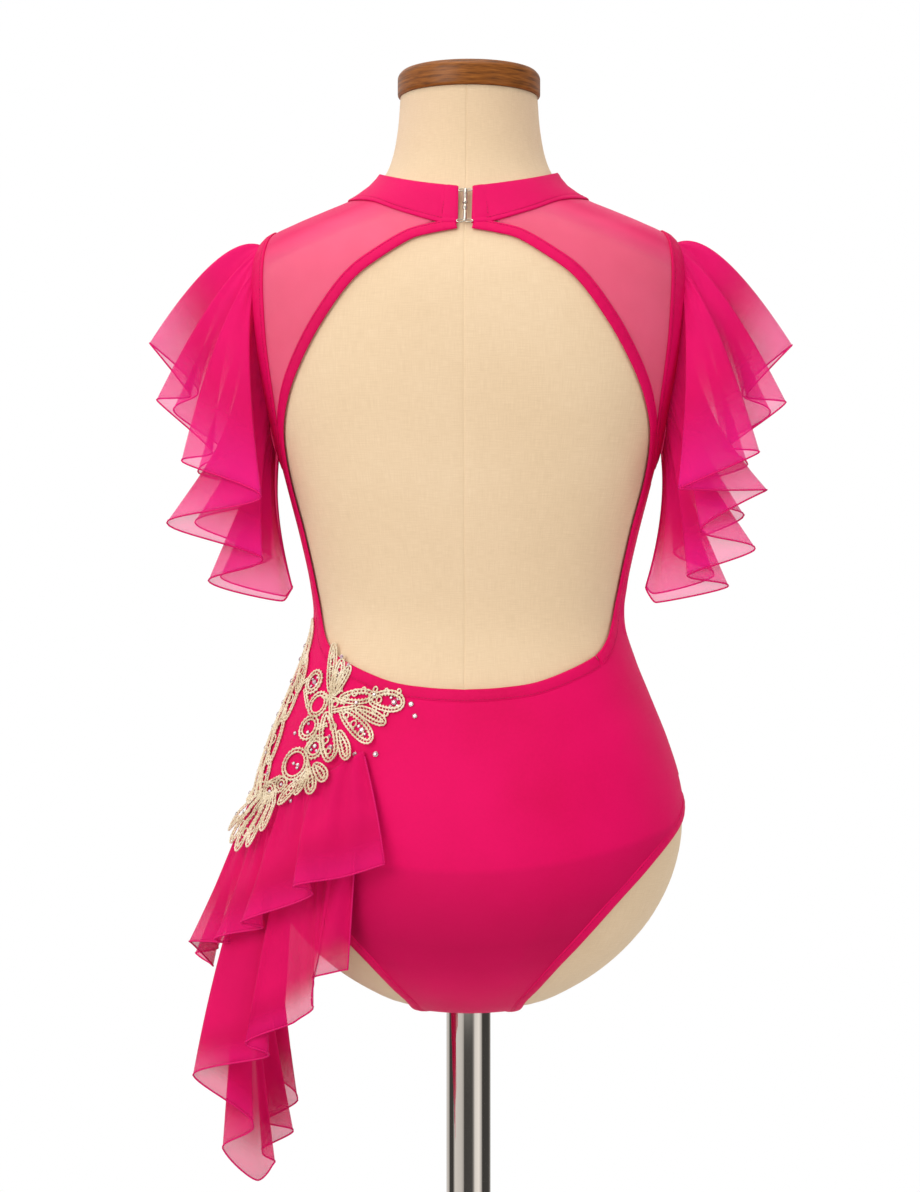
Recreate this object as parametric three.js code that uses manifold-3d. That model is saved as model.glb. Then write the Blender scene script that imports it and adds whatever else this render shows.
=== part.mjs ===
// Lyrical dance bodysuit, open at the back, on a limbless dress form with a round base.
// Millimetres, Z up. The garment's back faces -Y and its left side is -X.
import * as THREE from "three";
import Module from "manifold-3d";

const kernel = await Module();
kernel.setup();

// ---- driving sizes ----
const CLOTH_CLEAR = 1.1; // inside of the cloth above the form
const CLOTH_WALL = 1.2;
const FORM_EASE = 0.55; // the form lies this far inside the surface that the cloth is cut on
const TRIM_WALL = 1.8;
const CHIFFON_WALL = 1.0;
const MOST_REACH = 1.5; // how much further than that a wall stands out at a sharp crest
const SEAM_GAP = 0.3;
const BINDING_WIDTH = 9.6;
const LEG_BINDING_WIDTH = 8.0;
const COLLAR_WALL = 1.6;
const COLLAR_END_X = 5.2; // half of the gap that the hook and eye close
const ARMHOLE = { y: 5.5, z: 1307.5, halfWidth: 34.5, halfHeight: 83.5, power: 2.5 };
const YOKE_FOOT_Z = 1233;
const STRAP_HALF = 36; // half width of the crotch strap
const POLE_RADIUS = 17.6;
const NOTCH_RADIUS = 20;
const NECK_CAP = { radius: 57.3, bottom: 1510.4, height: 20.5, y: 10 };
const BASE = { radius: 152, height: 9, hubRadius: 31, hubHeight: 34 };
const LACE_DEG_TO_MM = 2.6; // lace is drawn flat: across = degrees round the body times this
const LACE_WALL = 2.0;
const LACE_CORD = 3.0;

const PINK = { color: 0xd8145f, roughness: 0.55, metalness: 0 };
const PINK_DARK = { color: 0xb90f50, roughness: 0.55, metalness: 0 };
const MESH_PINK = { color: 0xef5b86, roughness: 0.7, metalness: 0 };
const CHIFFON = { color: 0xe8307a, roughness: 0.75, metalness: 0 };
const LACE_CREAM = { color: 0xe3cda0, roughness: 0.6, metalness: 0 };
const LINEN = { color: 0xe9d3ab, roughness: 0.9, metalness: 0 };
const WOOD = { color: 0x7a4526, roughness: 0.35, metalness: 0 };
const CHROME = { color: 0xc8c8c8, roughness: 0.15, metalness: 1 };
const STEEL = { color: 0xb9bcc0, roughness: 0.3, metalness: 1 };

// ---- the form's surface ----
// z, half width, back depth, front depth, middle y, squareness
const FORM_RINGS = [
  [783.0, 19, 19, 19, 0, 2.0],
  [783.6, 36, 32, 30, 0, 2.0],
  [788.0, 60, 50, 44, 0, 2.05],
  [797.0, 80, 66, 57, 0, 2.1],
  [812.0, 104, 84, 71, 0, 2.15],
  [832.0, 127, 98, 82, 0, 2.2],
  [858.0, 148, 107, 90, 0, 2.2],
  [890.0, 163.5, 111, 95, 0, 2.2],
  [925.0, 170.5, 111, 97, 0, 2.2],
  [960.0, 167.0, 107, 96, 0, 2.2],
  [995.0, 156.5, 100, 93, 0, 2.2],
  [1030.0, 142.5, 91, 90, 0, 2.2],
  [1060.0, 130.5, 84, 88, 0, 2.2],
  [1090.0, 122.0, 80, 88, 0, 2.2],
  [1120.0, 124.5, 82, 91, 0, 2.2],
  [1155.0, 132.0, 87, 99, 0, 2.25],
  [1190.0, 141.0, 92, 108, 0, 2.3],
  [1225.0, 150.0, 96, 113, 0, 2.35],
  [1260.0, 158.5, 99, 113, 0, 2.4],
  [1295.0, 165.5, 100, 108, 0, 2.4],
  [1330.0, 170.0, 98, 99, 0, 2.35],
  [1360.0, 171.5, 93, 88, 0, 2.25],
  [1381.0, 168.0, 86, 79, 0, 2.15],
  [1395.0, 159.0, 80, 73, 1, 2.05],
  [1405.0, 140.0, 75, 69, 2, 2.0],
  [1414.0, 119.0, 71, 66, 3, 2.0],
  [1424.0, 95.0, 67, 63, 4, 2.0],
  [1434.0, 79.0, 63, 60, 6, 2.0],
  [1446.0, 68.5, 60, 58, 8, 2.0],
  [1462.0, 61.8, 57, 56, 9, 2.0],
  [1485.0, 57.6, 55.5, 55.5, 10, 2.0],
  [1510.0, 55.6, 55.6, 55.6, 10, 2.0],
];
const TOP_RING = FORM_RINGS.length - 1;

const radians = (degrees) => (degrees * Math.PI) / 180;
const mix = (a, b, t) => a + (b - a) * t;
const clamp = (x, low, high) => Math.max(low, Math.min(high, x));
const smooth = (t) => t * t * (3 - 2 * t);

function hermite(p0, p1, p2, p3, t) {
  const t2 = t * t;
  const t3 = t2 * t;
  const m1 = (p2 - p0) / 2;
  const m2 = (p3 - p1) / 2;
  return (2 * t3 - 3 * t2 + 1) * p1 + (t3 - 2 * t2 + t) * m1 + (3 * t2 - 2 * t3) * p2 + (t3 - t2) * m2;
}

// Rows of a table joined by one smooth curve through each of its columns.
function alongRows(rows, at) {
  const last = rows.length - 1;
  const i = clamp(Math.floor(at), 0, last - 1);
  const t = clamp(at - i, 0, 1);
  const before = i > 0 ? rows[i - 1] : rows[0].map((x, k) => 2 * x - rows[1][k]);
  const after = i + 2 <= last ? rows[i + 2] : rows[last].map((x, k) => 2 * x - rows[last - 1][k]);
  return rows[i].map((x, k) => hermite(before[k], x, rows[i + 1][k], after[k], t));
}

// The same for rows that swing to and fro: the curve never swings past a row.
function alongFolds(rows, at) {
  const last = rows.length - 1;
  const i = clamp(Math.floor(at), 0, last - 1);
  const t = clamp(at - i, 0, 1);
  const slope = (j, k) => {
    if (j === 0 || j === last) return 0;
    const before = rows[j][k] - rows[j - 1][k];
    const after = rows[j + 1][k] - rows[j][k];
    return before * after > 0 ? (2 * before * after) / (before + after) : 0;
  };
  const t2 = t * t;
  const t3 = t2 * t;
  return rows[i].map((x, k) => {
    const ends = (2 * t3 - 3 * t2 + 1) * x + (3 * t2 - 2 * t3) * rows[i + 1][k];
    return ends + (t3 - 2 * t2 + t) * slope(i, k) + (t3 - t2) * slope(i + 1, k);
  });
}

const ringAt = (level) => alongRows(FORM_RINGS, clamp(level, 0, TOP_RING));

// The level, in rings counted from the bottom, whose height is z.
function levelAt(z) {
  let low = 0;
  let high = TOP_RING;
  for (let i = 0; i < 40; i += 1) {
    const middle = (low + high) / 2;
    if (ringAt(middle)[0] < z) low = middle;
    else high = middle;
  }
  return (low + high) / 2;
}

// A point of the form: angle 0 is the middle of the back, 90 is +X, 180 is the front.
function formPoint(angle, level) {
  const [z, half, back, front, y, power] = ringAt(level);
  const s = Math.sin(radians(angle));
  const c = Math.cos(radians(angle));
  const depth = c > 0 ? back : front;
  const r = 1 / (Math.abs(s / half) ** power + Math.abs(c / depth) ** power) ** (1 / power);
  return new THREE.Vector3(r * s, y - r * c, z);
}

function formSlopes(angle, level) {
  const low = clamp(level - 0.02, 0, TOP_RING);
  const high = clamp(level + 0.02, 0, TOP_RING);
  const around = formPoint(angle + 0.2, level).sub(formPoint(angle - 0.2, level)).divideScalar(0.4);
  const up = formPoint(angle, high).sub(formPoint(angle, low)).divideScalar(high - low);
  return { around, up };
}

function formNormal(angle, level) {
  const { around, up } = formSlopes(angle, level);
  return around.cross(up).normalize();
}

function lifted(angle, level, height) {
  return formPoint(angle, level).addScaledVector(formNormal(angle, level), height);
}

// Moves a point of the form along its surface by a vector.
function slid(angle, level, move) {
  const { around, up } = formSlopes(angle, level);
  const aa = around.dot(around);
  const au = around.dot(up);
  const uu = up.dot(up);
  const ma = move.dot(around);
  const mu = move.dot(up);
  const det = aa * uu - au * au;
  return [angle + (ma * uu - mu * au) / det, level + (mu * aa - ma * au) / det];
}

// A curve on the form moved sideways by a width, to the side that `towards` gives.
function movedAside(curve, width, towards, closed = false) {
  const steps = 3;
  let current = curve;
  const widthOf = typeof width === "function" ? width : () => width;
  for (let k = 0; k < steps; k += 1) {
    const n = current.length;
    current = current.map(([angle, level], i) => {
      const a = current[closed ? (i + n - 1) % n : Math.max(i - 1, 0)];
      const b = current[closed ? (i + 1) % n : Math.min(i + 1, n - 1)];
      const along = formPoint(b[0], b[1]).sub(formPoint(a[0], a[1])).normalize();
      const side = formNormal(angle, level).cross(along).multiplyScalar(towards);
      return slid(angle, level, side.multiplyScalar(widthOf(i) / steps));
    });
  }
  return current;
}

// Points at even distances along a smooth curve through rows of angle and height.
function curveOnForm(rows, step) {
  const fine = [];
  const parts = 12 * (rows.length - 1);
  for (let i = 0; i <= parts; i += 1) {
    const [angle, z] = alongRows(rows, i / 12);
    fine.push([angle, levelAt(z)]);
  }
  return evenly(fine, step);
}

function evenly(points, step) {
  const places = points.map(([angle, level]) => formPoint(angle, level));
  const lengths = [0];
  for (let i = 1; i < places.length; i += 1) lengths.push(lengths[i - 1] + places[i].distanceTo(places[i - 1]));
  const total = lengths[lengths.length - 1];
  const count = Math.max(2, Math.round(total / step));
  const result = [];
  let k = 0;
  for (let i = 0; i <= count; i += 1) {
    const target = (total * i) / count;
    while (k < lengths.length - 2 && lengths[k + 1] < target) k += 1;
    const t = (target - lengths[k]) / (lengths[k + 1] - lengths[k]);
    result.push([mix(points[k][0], points[k + 1][0], t), mix(points[k][1], points[k + 1][1], t)]);
  }
  return result;
}

// ---- solids from sheets ----
function meshOf(name, positions, triangles, look) {
  const geometry = new THREE.BufferGeometry();
  geometry.setAttribute("position", new THREE.Float32BufferAttribute(positions.flatMap((p) => [p.x, p.y, p.z]), 3));
  geometry.setIndex(triangles.flat());
  geometry.computeVertexNormals();
  const mesh = new THREE.Mesh(geometry, new THREE.MeshStandardMaterial(look));
  mesh.name = name;
  return mesh;
}

// A closed wall: outer and inner skins of the same faces, joined round every free edge.
function wallOf(name, outer, inner, faces, look) {
  const n = outer.length;
  const triangles = [];
  const edges = new Map();
  for (const face of faces) {
    for (let i = 0; i < face.length; i += 1) edges.set(face[i] + "," + face[(i + 1) % face.length], face);
    const parts = splitFace(face, outer);
    for (const [a, b, c] of parts) {
      triangles.push([a, b, c]);
      triangles.push([n + a, n + c, n + b]);
    }
  }
  for (const key of edges.keys()) {
    const [a, b] = key.split(",").map(Number);
    if (edges.has(b + "," + a)) continue;
    triangles.push([b, a, n + a]);
    triangles.push([b, n + a, n + b]);
  }
  return meshOf(name, [...outer, ...inner], triangles, look);
}

function splitFace(face, points) {
  if (face.length === 3) return [face];
  const [a, b, c, d] = face;
  const first = points[a].distanceTo(points[c]) <= points[b].distanceTo(points[d]);
  return first ? [[a, b, c], [a, c, d]] : [[a, b, d], [b, c, d]];
}

// Faces of a grid numbered row by row; columns may close into a ring.
function gridFaces(rows, columns, ring = false, start = 0) {
  const faces = [];
  const across = ring ? columns : columns - 1;
  for (let r = 0; r < rows - 1; r += 1) {
    for (let c = 0; c < across; c += 1) {
      const d = (c + 1) % columns;
      faces.push([r * columns + c, r * columns + d, (r + 1) * columns + d, (r + 1) * columns + c]);
    }
  }
  return faces.map((face) => face.map((i) => i + start));
}

// A panel of cloth from rows of [angle, level] points, lowest row first, left to right.
function panel(name, rows, look, wall = CLOTH_WALL, clear = CLOTH_CLEAR) {
  const flat = rows.flat();
  const outer = flat.map(([angle, level]) => lifted(angle, level, clear + wall));
  const inner = flat.map(([angle, level]) => lifted(angle, level, clear));
  return wallOf(name, outer, inner, gridFaces(rows.length, rows[0].length), look);
}

// A strip of binding between two curves, a little crowned along its middle.
function binding(name, edge, far, look, flip, ring = false) {
  const middle = edge.map(([a, l], i) => [(a + far[i][0]) / 2, (l + far[i][1]) / 2]);
  const lines = flip ? [far, middle, edge] : [edge, middle, far];
  const top = [CLOTH_CLEAR + TRIM_WALL - 0.4, CLOTH_CLEAR + TRIM_WALL, CLOTH_CLEAR + TRIM_WALL - 0.4];
  const outer = lines.flatMap((line, k) => line.map(([a, l]) => lifted(a, l, top[k])));
  const inner = lines.flatMap((line) => line.map(([a, l]) => lifted(a, l, CLOTH_CLEAR)));
  return wallOf(name, outer, inner, gridFaces(3, edge.length, ring), look);
}

const mirrored = (line) => line.map(([angle, level]) => [-angle, level]);

// ---- edges of the cut ----
// Back opening, right half, from under the closure down to the middle of the low back: angle, z
const OPENING_ROWS = [
  [3.9, 1391.5],
  [17, 1387.8],
  [27, 1382.6],
  [38, 1367.2],
  [45.2, 1351.5],
  [52.8, 1321.6],
  [59.6, 1291.8],
  [66.8, 1262.0],
  [73.4, 1232.0],
  [76.4, 1201.0],
  [76.2, 1165.0],
  [76.6, 1130.0],
  [75.5, 1107.0],
  [72.8, 1090.0],
  [66.5, 1073.5],
  [57.0, 1060.2],
  [36, 1044.6],
  [18, 1039.5],
  [0, 1038],
];
// Collar's lower edge: angle, z
const COLLAR_FOOT_ROWS = [
  [0, 1395.6],
  [14, 1396.6],
  [35, 1406.2],
  [55, 1417.2],
  [75, 1421.5],
  [90, 1423.5],
  [110, 1419],
  [140, 1402],
  [160, 1392],
  [180, 1388],
];
// Collar's upper edge: angle, z
const COLLAR_TOP_ROWS = [
  [0, 1425],
  [35, 1431.6],
  [73, 1443.5],
  [90, 1446],
  [120, 1440],
  [150, 1427],
  [180, 1421],
];
// Leg opening, right side, from the crotch round the back to the hip: angle, z
const LEG_BACK_ROWS = [
  [40.2, 797],
  [39.6, 812],
  [42.5, 831],
  [47.2, 847],
  [51.5, 862],
  [56.2, 877],
  [61.4, 891.5],
  [66.8, 906],
  [73.5, 920.5],
  [81.5, 933.5],
  [90, 945],
];
// and on round the front to the crotch: angle, z
const LEG_FRONT_ROWS = [
  [90, 945],
  [99, 944],
  [108, 934],
  [117, 917],
  [125, 898],
  [132, 876],
  [139, 852],
  [144, 830],
  [147, 812],
  [146, 797],
];

function heightOnRows(rows, angle) {
  const a = Math.min(Math.abs(angle), 360 - Math.abs(angle));
  for (let i = 0; i < rows.length - 1; i += 1) {
    if (a <= rows[i + 1][0]) {
      for (let k = 0, low = 0, high = 1; k < 30; k += 1) {
        const t = (low + high) / 2;
        if (alongRows(rows, i + t)[0] < a) low = t;
        else high = t;
        if (k === 29) return alongRows(rows, i + t)[1];
      }
    }
  }
  return rows[rows.length - 1][1];
}
const collarFoot = (angle) => heightOnRows(COLLAR_FOOT_ROWS, angle);
const collarTop = (angle) => heightOnRows(COLLAR_TOP_ROWS, angle);

// The armhole's edge: turn 90 is the shoulder, 180 the back, 270 under the arm.
function armholePoint(turn) {
  const c = Math.cos(radians(turn));
  const s = Math.sin(radians(turn));
  const k = 2 / ARMHOLE.power;
  const y = ARMHOLE.y + ARMHOLE.halfWidth * Math.sign(c) * Math.abs(c) ** k;
  const z = ARMHOLE.z + ARMHOLE.halfHeight * Math.sign(s) * Math.abs(s) ** k;
  return sidePoint(y, z);
}

// The [angle, level] of the form's right side at this y and z.
function sidePoint(y, z) {
  const level = levelAt(z);
  const [, half, back, front, middle, power] = ringAt(level);
  const depth = y < middle ? back : front;
  const x = half * (1 - Math.min(1, Math.abs((y - middle) / depth) ** power)) ** (1 / power);
  return [(Math.atan2(x, middle - y) * 180) / Math.PI, level];
}

const ARM_STEPS = 24;
const SEAM_OFFSET = SEAM_GAP + 0.25;
const armholeEdge = Array.from({ length: ARM_STEPS }, (_, i) => armholePoint(90 + (360 * i) / ARM_STEPS));
const armholeFar = movedAside(armholeEdge, BINDING_WIDTH, -1, true);
const armholeSeam = movedAside(armholeEdge, BINDING_WIDTH + SEAM_OFFSET, -1, true);
const UNDER_ARM = ARM_STEPS / 2; // index of the armhole's lowest point

const openingEdge = curveOnForm(OPENING_ROWS, 13);
const heightOf = ([, level]) => ringAt(level)[0];
const hemStart = openingEdge.findIndex((point) => point[0] < 62 && heightOf(point) < 1072);

// Widths stop short of the collar where the binding runs in under it.
function openingWidth(i) {
  const [angle] = openingEdge[i];
  const z = heightOf(openingEdge[i]);
  const room = (collarFoot(angle) - SEAM_GAP - z) * 1.05;
  return angle < 45 && z > 1360 ? clamp(room, 1.5, BINDING_WIDTH) : BINDING_WIDTH;
}
const openingFar = movedAside(openingEdge, openingWidth, 1);
const openingSeam = movedAside(openingEdge, (i) => openingWidth(i) + SEAM_OFFSET, 1);

// The point where a line of [angle, level] passes height z, and the index before it.
function crossing(line, z, from = 0) {
  for (let i = from; i < line.length - 1; i += 1) {
    const a = heightOf(line[i]);
    const b = heightOf(line[i + 1]);
    if ((a - z) * (b - z) <= 0) {
      const t = (z - a) / (b - a || 1);
      return { index: i, point: line[i].map((x, k) => mix(x, line[i + 1][k], t)) };
    }
  }
  throw new Error("no crossing at " + z);
}

// The [angle, level] under a point of the plan, on the form's underside.
function planPoint(x, y) {
  const angle = (Math.atan2(x, -y) * 180) / Math.PI;
  const r = Math.hypot(x, y);
  let low = 0;
  let high = 7;
  for (let i = 0; i < 40; i += 1) {
    const middle = (low + high) / 2;
    const p = formPoint(angle, middle);
    if (Math.hypot(p.x, p.y) < r) low = middle;
    else high = middle;
  }
  return [angle, (low + high) / 2];
}

// The leg opening's edge: crotch seam, round the back, over the hip, round the front.
function legEdge() {
  const curve = curveOnForm([...LEG_BACK_ROWS, ...LEG_FRONT_ROWS.slice(1)], 23);
  const back = [[36.5, -14], [39, -28], [43, -42]].map(([x, y]) => planPoint(x, y));
  const front = [[34.5, 39], [34.5, 26], [35, 13]].map(([x, y]) => planPoint(x, y));
  return [planPoint(STRAP_HALF, 0.001), ...back, ...curve, ...front];
}
const legLine = legEdge();
const legFar = movedAside(legLine, LEG_BINDING_WIDTH, 1, true);
const legSeam = movedAside(legLine, LEG_BINDING_WIDTH + SEAM_OFFSET, 1, true);
const HIP_ANGLE = 90;
const hipIndex = legSeam.findIndex(([angle], i) => i > 6 && angle > HIP_ANGLE - 2);

// ---- cloth pieces ----
function collarPiece() {
  const columns = 37;
  const rows = 3;
  const outer = [];
  const inner = [];
  for (let r = 0; r < rows; r += 1) {
    const t = r / (rows - 1);
    for (let c = 0; c < columns; c += 1) {
      const endAngle = mix(3.7, 4.6, t);
      const angle = mix(endAngle, 360 - endAngle, c / (columns - 1));
      const level = levelAt(mix(collarFoot(angle) + SEAM_GAP, collarTop(angle), t));
      const clear = mix(CLOTH_CLEAR, 2.4, t);
      outer.push(lifted(angle, level, clear + COLLAR_WALL));
      inner.push(lifted(angle, level, clear));
    }
  }
  return wallOf("collar", outer, inner, gridFaces(rows, columns), PINK);
}

// The shoulder seam from the collar to the armhole; side -1 is its back, 1 its front.
function shoulderSeam(count, side) {
  const top = [HIP_ANGLE, levelAt(collarFoot(90) - SEAM_GAP)];
  const tip = armholeSeam[0];
  return Array.from({ length: count + 1 }, (_, i) => {
    const t = i / count;
    return [mix(top[0], tip[0], t) + side * 0.1, mix(top[1], tip[1], t)];
  });
}

// 0 down the side of the armhole, 1 over the shoulder, where the rows lie level.
const shoulderShare = (point) => smooth(clamp((heightOf(point) - 1330) / 60, 0, 1));

// Yoke: between the back opening's seam and the shoulder and armhole seams.
function yokePiece(name, side) {
  const begin = openingSeam.findIndex(([angle]) => angle > 22);
  const foot = crossing(openingSeam, YOKE_FOOT_Z + SEAM_GAP, begin);
  const inside = [...openingSeam.slice(begin, foot.index + 1), foot.point];
  const armFoot = crossing(armholeSeam.slice(0, UNDER_ARM + 1), YOKE_FOOT_Z + SEAM_GAP, 3);
  const arm = [...armholeSeam.slice(1, armFoot.index + 1), armFoot.point];
  const outside = [...shoulderSeam(inside.length - 1 - arm.length, -1), ...arm];
  const across = 6;
  const lines = inside.map((near, i) =>
    Array.from({ length: across }, (_, c) => {
      const t = c / (across - 1);
      const angle = mix(near[0], outside[i][0], t);
      const rise = mix(t, 1 - (1 - t) ** 2, shoulderShare(outside[i]));
      const level = i === 0 ? levelAt(collarFoot(angle) - SEAM_GAP) : mix(near[1], outside[i][1], rise);
      return [side * angle, level];
    }),
  );
  const rows = lines.reverse();
  return panel(name, side > 0 ? rows : rows.map((row) => row.reverse()), MESH_PINK);
}

// The side seam from the hip up to the armhole; side -1 is its back, 1 its front.
function sideSeam(count, side) {
  const hip = legSeam[hipIndex];
  const top = armholeSeam[UNDER_ARM];
  return Array.from({ length: count + 1 }, (_, i) => {
    const t = i / count;
    return [mix(hip[0], top[0], t) + side * 0.08, mix(hip[1], top[1], t)];
  });
}

// One row across the crotch strap, through the leg seam's point, round the pole at the seam.
function strapRow(edge, middleY, columns, onFront) {
  const tip = formPoint(edge[0], edge[1]);
  const sign = onFront ? 1 : -1;
  return Array.from({ length: columns }, (_, c) => {
    const q = (onFront ? 1 : -1) * (1 - (2 * c) / (columns - 1));
    const x = q * tip.x;
    let y = mix(middleY, tip.y, q * q);
    if (middleY === 0) y = sign * Math.max(0.2, Math.sqrt(Math.max(0, NOTCH_RADIUS ** 2 - x * x)));
    const [angle, level] = planPoint(x, y);
    return [onFront && angle < 0 ? angle + 360 : angle, level];
  });
}

// Back: a deep U whose side strips reach the armholes, with half of the crotch strap.
function backPanel() {
  const centreColumns = 4;
  const strapTop = legSeam.findIndex((point, i) => i > 2 && heightOf(point) > 806);
  const leg = legSeam.slice(strapTop, hipIndex + 1);
  leg[leg.length - 1] = [leg[leg.length - 1][0] - 0.08, leg[leg.length - 1][1]];
  const topZ = YOKE_FOOT_Z - SEAM_GAP;
  const foot = crossing(openingSeam, topZ, 5);
  const inside = [...openingSeam.slice(foot.index + 1).reverse(), foot.point];
  const armFoot = crossing(armholeSeam.slice(0, UNDER_ARM + 1), topZ, 3);
  const arm = [...armholeSeam.slice(armFoot.index + 1, UNDER_ARM).reverse(), armFoot.point];
  const seamCount = inside.length - 1 - (centreColumns + leg.length - 1 + arm.length);
  const [legAngle, legLevel] = leg[0];
  const centre = Array.from({ length: centreColumns }, (_, i) => {
    const q = i / centreColumns;
    return [q * legAngle, mix(levelAt(812), legLevel, q * q)];
  });
  const outside = [...centre, ...leg, ...sideSeam(seamCount, -1).slice(1), ...arm];
  const across = 8;
  const ribs = inside.map((near, i) =>
    Array.from({ length: across }, (_, k) => outside[i].map((x, j) => mix(x, near[j], k / (across - 1)))),
  );
  const rows = Array.from({ length: across }, (_, k) => {
    const right = ribs.map((rib) => rib[k]);
    return [...mirrored(right.slice(1)).reverse(), ...right];
  });
  const main = rows.flat();
  const width = rows[0].length;
  const strapColumns = 2 * centreColumns + 1;
  const middleAt = (width - 1) / 2;
  const depth = formPoint(0, levelAt(812)).y;
  const strap = [];
  for (let r = 0; r < strapTop; r += 1) {
    const middle = r === 0 ? 0 : mix(-27, depth, (r / strapTop) ** 1.1);
    strap.push(strapRow(legSeam[r], middle, strapColumns, false));
  }
  const points = [...main, ...strap.flat()];
  const faces = gridFaces(across, width);
  faces.push(...gridFaces(strap.length, strapColumns, false, main.length));
  const join = main.length + (strap.length - 1) * strapColumns;
  for (let c = 0; c < strapColumns - 1; c += 1) {
    const top = middleAt - centreColumns + c;
    faces.push([join + c, join + c + 1, top + 1, top]);
  }
  const outer = points.map(([a, l]) => lifted(a, l, CLOTH_CLEAR + CLOTH_WALL));
  const inner = points.map(([a, l]) => lifted(a, l, CLOTH_CLEAR));
  return wallOf("back_panel", outer, inner, faces, PINK);
}

// Front: one piece from the crotch seam to the collar and shoulder seams.
function frontPanel() {
  const columns = 17;
  const legFront = legSeam.slice(hipIndex).reverse();
  legFront[legFront.length - 1] = [legFront[legFront.length - 1][0] + 0.08, legFront[legFront.length - 1][1]];
  const sides = sideSeam(6, 1).slice(1);
  const arm = armholeSeam.slice(UNDER_ARM + 1);
  const shoulder = shoulderSeam(4, 1).reverse();
  const edges = [legSeam[0], ...legFront, ...sides, ...arm, ...shoulder];
  const hipRow = legFront.length;
  const armRow = hipRow + sides.length;
  const tipRow = armRow + arm.length + 1;
  const last = edges.length - 1;
  const centreZ = (r) => {
    if (r <= hipRow) return mix(797, 985, clamp((r - 4) / (hipRow - 4), 0, 1));
    if (r <= armRow) return mix(985, 1225, (r - hipRow) / (armRow - hipRow));
    if (r <= tipRow) return mix(1225, 1362, (r - armRow) / (tipRow - armRow));
    return mix(1362, 1388, ((r - tipRow) / (last - tipRow)) ** 0.8);
  };
  const rows = edges.map((edge, r) => {
    if (r < 5) return strapRow(edge, r === 0 ? 0 : 24 + 8.5 * r, columns, true);
    const middle = levelAt(centreZ(r));
    return Array.from({ length: columns }, (_, c) => {
      const even = 1 - (2 * c) / (columns - 1);
      const q = Math.sin(even * 1.3) / Math.sin(1.3); // closer together at the sides
      const angle = 180 - q * (180 - edge[0]);
      const rise = mix(q * q, smooth(Math.abs(q)), shoulderShare(edge));
      const level = r === last ? levelAt(collarFoot(angle) - SEAM_GAP) : mix(middle, edge[1], rise);
      return [angle, level];
    });
  });
  return panel("front_panel", rows, PINK);
}

function bindings() {
  const pieces = [];
  const arc = (line) => line.slice(0, hemStart + 1);
  const trimEnd = (line) => {
    const cut = arc(line);
    const n = cut.length - 1;
    cut[n] = cut[n].map((x, k) => mix(cut[n - 1][k], x, 0.96));
    return cut;
  };
  const side = (name, edge, far, flip, ring, look) => pieces.push(binding(name, edge, far, look, flip, ring));
  side("opening_binding_right", trimEnd(openingEdge), trimEnd(openingFar), false, false, PINK_DARK);
  side("opening_binding_left", mirrored(trimEnd(openingEdge)), mirrored(trimEnd(openingFar)), true, false, PINK_DARK);
  const hem = (line) => {
    const half = line.slice(hemStart);
    return [...half, ...mirrored(half.slice(0, -1)).reverse()];
  };
  side("low_back_hem", hem(openingEdge), hem(openingFar), false, false, PINK_DARK);
  side("armhole_binding_right", armholeEdge, armholeFar, true, true, PINK_DARK);
  side("armhole_binding_left", mirrored(armholeEdge), mirrored(armholeFar), false, true, PINK_DARK);
  side("leg_binding_right", legLine, legFar, false, true, PINK_DARK);
  side("leg_binding_left", mirrored(legLine), mirrored(legFar), true, true, PINK_DARK);
  return pieces;
}

// ---- chiffon flounces ----
// Folds hang from a root curve; each row is one crest or hollow of the hem.
function flounce(name, folds, look, options) {
  const { between, lengthSteps, rootOf } = options;
  const columns = (folds.length - 1) * between + 1;
  const strands = folds.map((fold) => [options.placeOf(fold), ...fold.bend, ...fold.hem]);
  const middle = [];
  for (let r = 0; r <= lengthSteps; r += 1) {
    const t = 1 - r / lengthSteps;
    for (let c = 0; c < columns; c += 1) {
      const row = alongFolds(strands, c / between);
      const root = rootOf(row[0]);
      const bend = root.clone().add(new THREE.Vector3(row[1], row[2], row[3]));
      const hem = new THREE.Vector3(row[4], row[5], row[6]);
      const point = root.clone().multiplyScalar((1 - t) ** 2);
      point.addScaledVector(bend, 2 * t * (1 - t)).addScaledVector(hem, t * t);
      middle.push(point);
    }
  }
  return sheetWall(name, middle, lengthSteps + 1, columns, look, CHIFFON_WALL);
}

// A wall laid evenly to both sides of a folded sheet given row by row. At a crest it is
// moved out along the line that halves the fold, so that the two sides stay apart.
function sheetWall(name, middle, rows, columns, look, thick) {
  const at = (r, c) => middle[r * columns + clamp(c, 0, columns - 1)];
  const out = middle.map((point, i) => {
    const r = Math.floor(i / columns);
    const c = i % columns;
    const strand = at(Math.min(r + 1, rows - 1), c).clone().sub(at(Math.max(r - 1, 0), c)).normalize();
    const left = point.clone().sub(at(r, c - 1)).projectOnPlane(strand).normalize();
    const right = at(r, c + 1).clone().sub(point).projectOnPlane(strand).normalize();
    if (c === 0) left.copy(right);
    if (c === columns - 1) right.copy(left);
    const normal = left.clone().add(right).cross(strand);
    const sine = Math.max(0.05, normal.length() / 2);
    const inward = right.clone().sub(left);
    const side = left.clone().cross(strand).dot(right) > 0 ? 1 : -1;
    normal.addScaledVector(inward, side).normalize();
    return normal.multiplyScalar(Math.min(MOST_REACH, 1 / sine));
  });
  const skin = (height) => middle.map((p, i) => p.clone().addScaledVector(out[i], height));
  return wallOf(name, skin(thick / 2), skin(-thick / 2), gridFaces(rows, columns), look);
}

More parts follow.
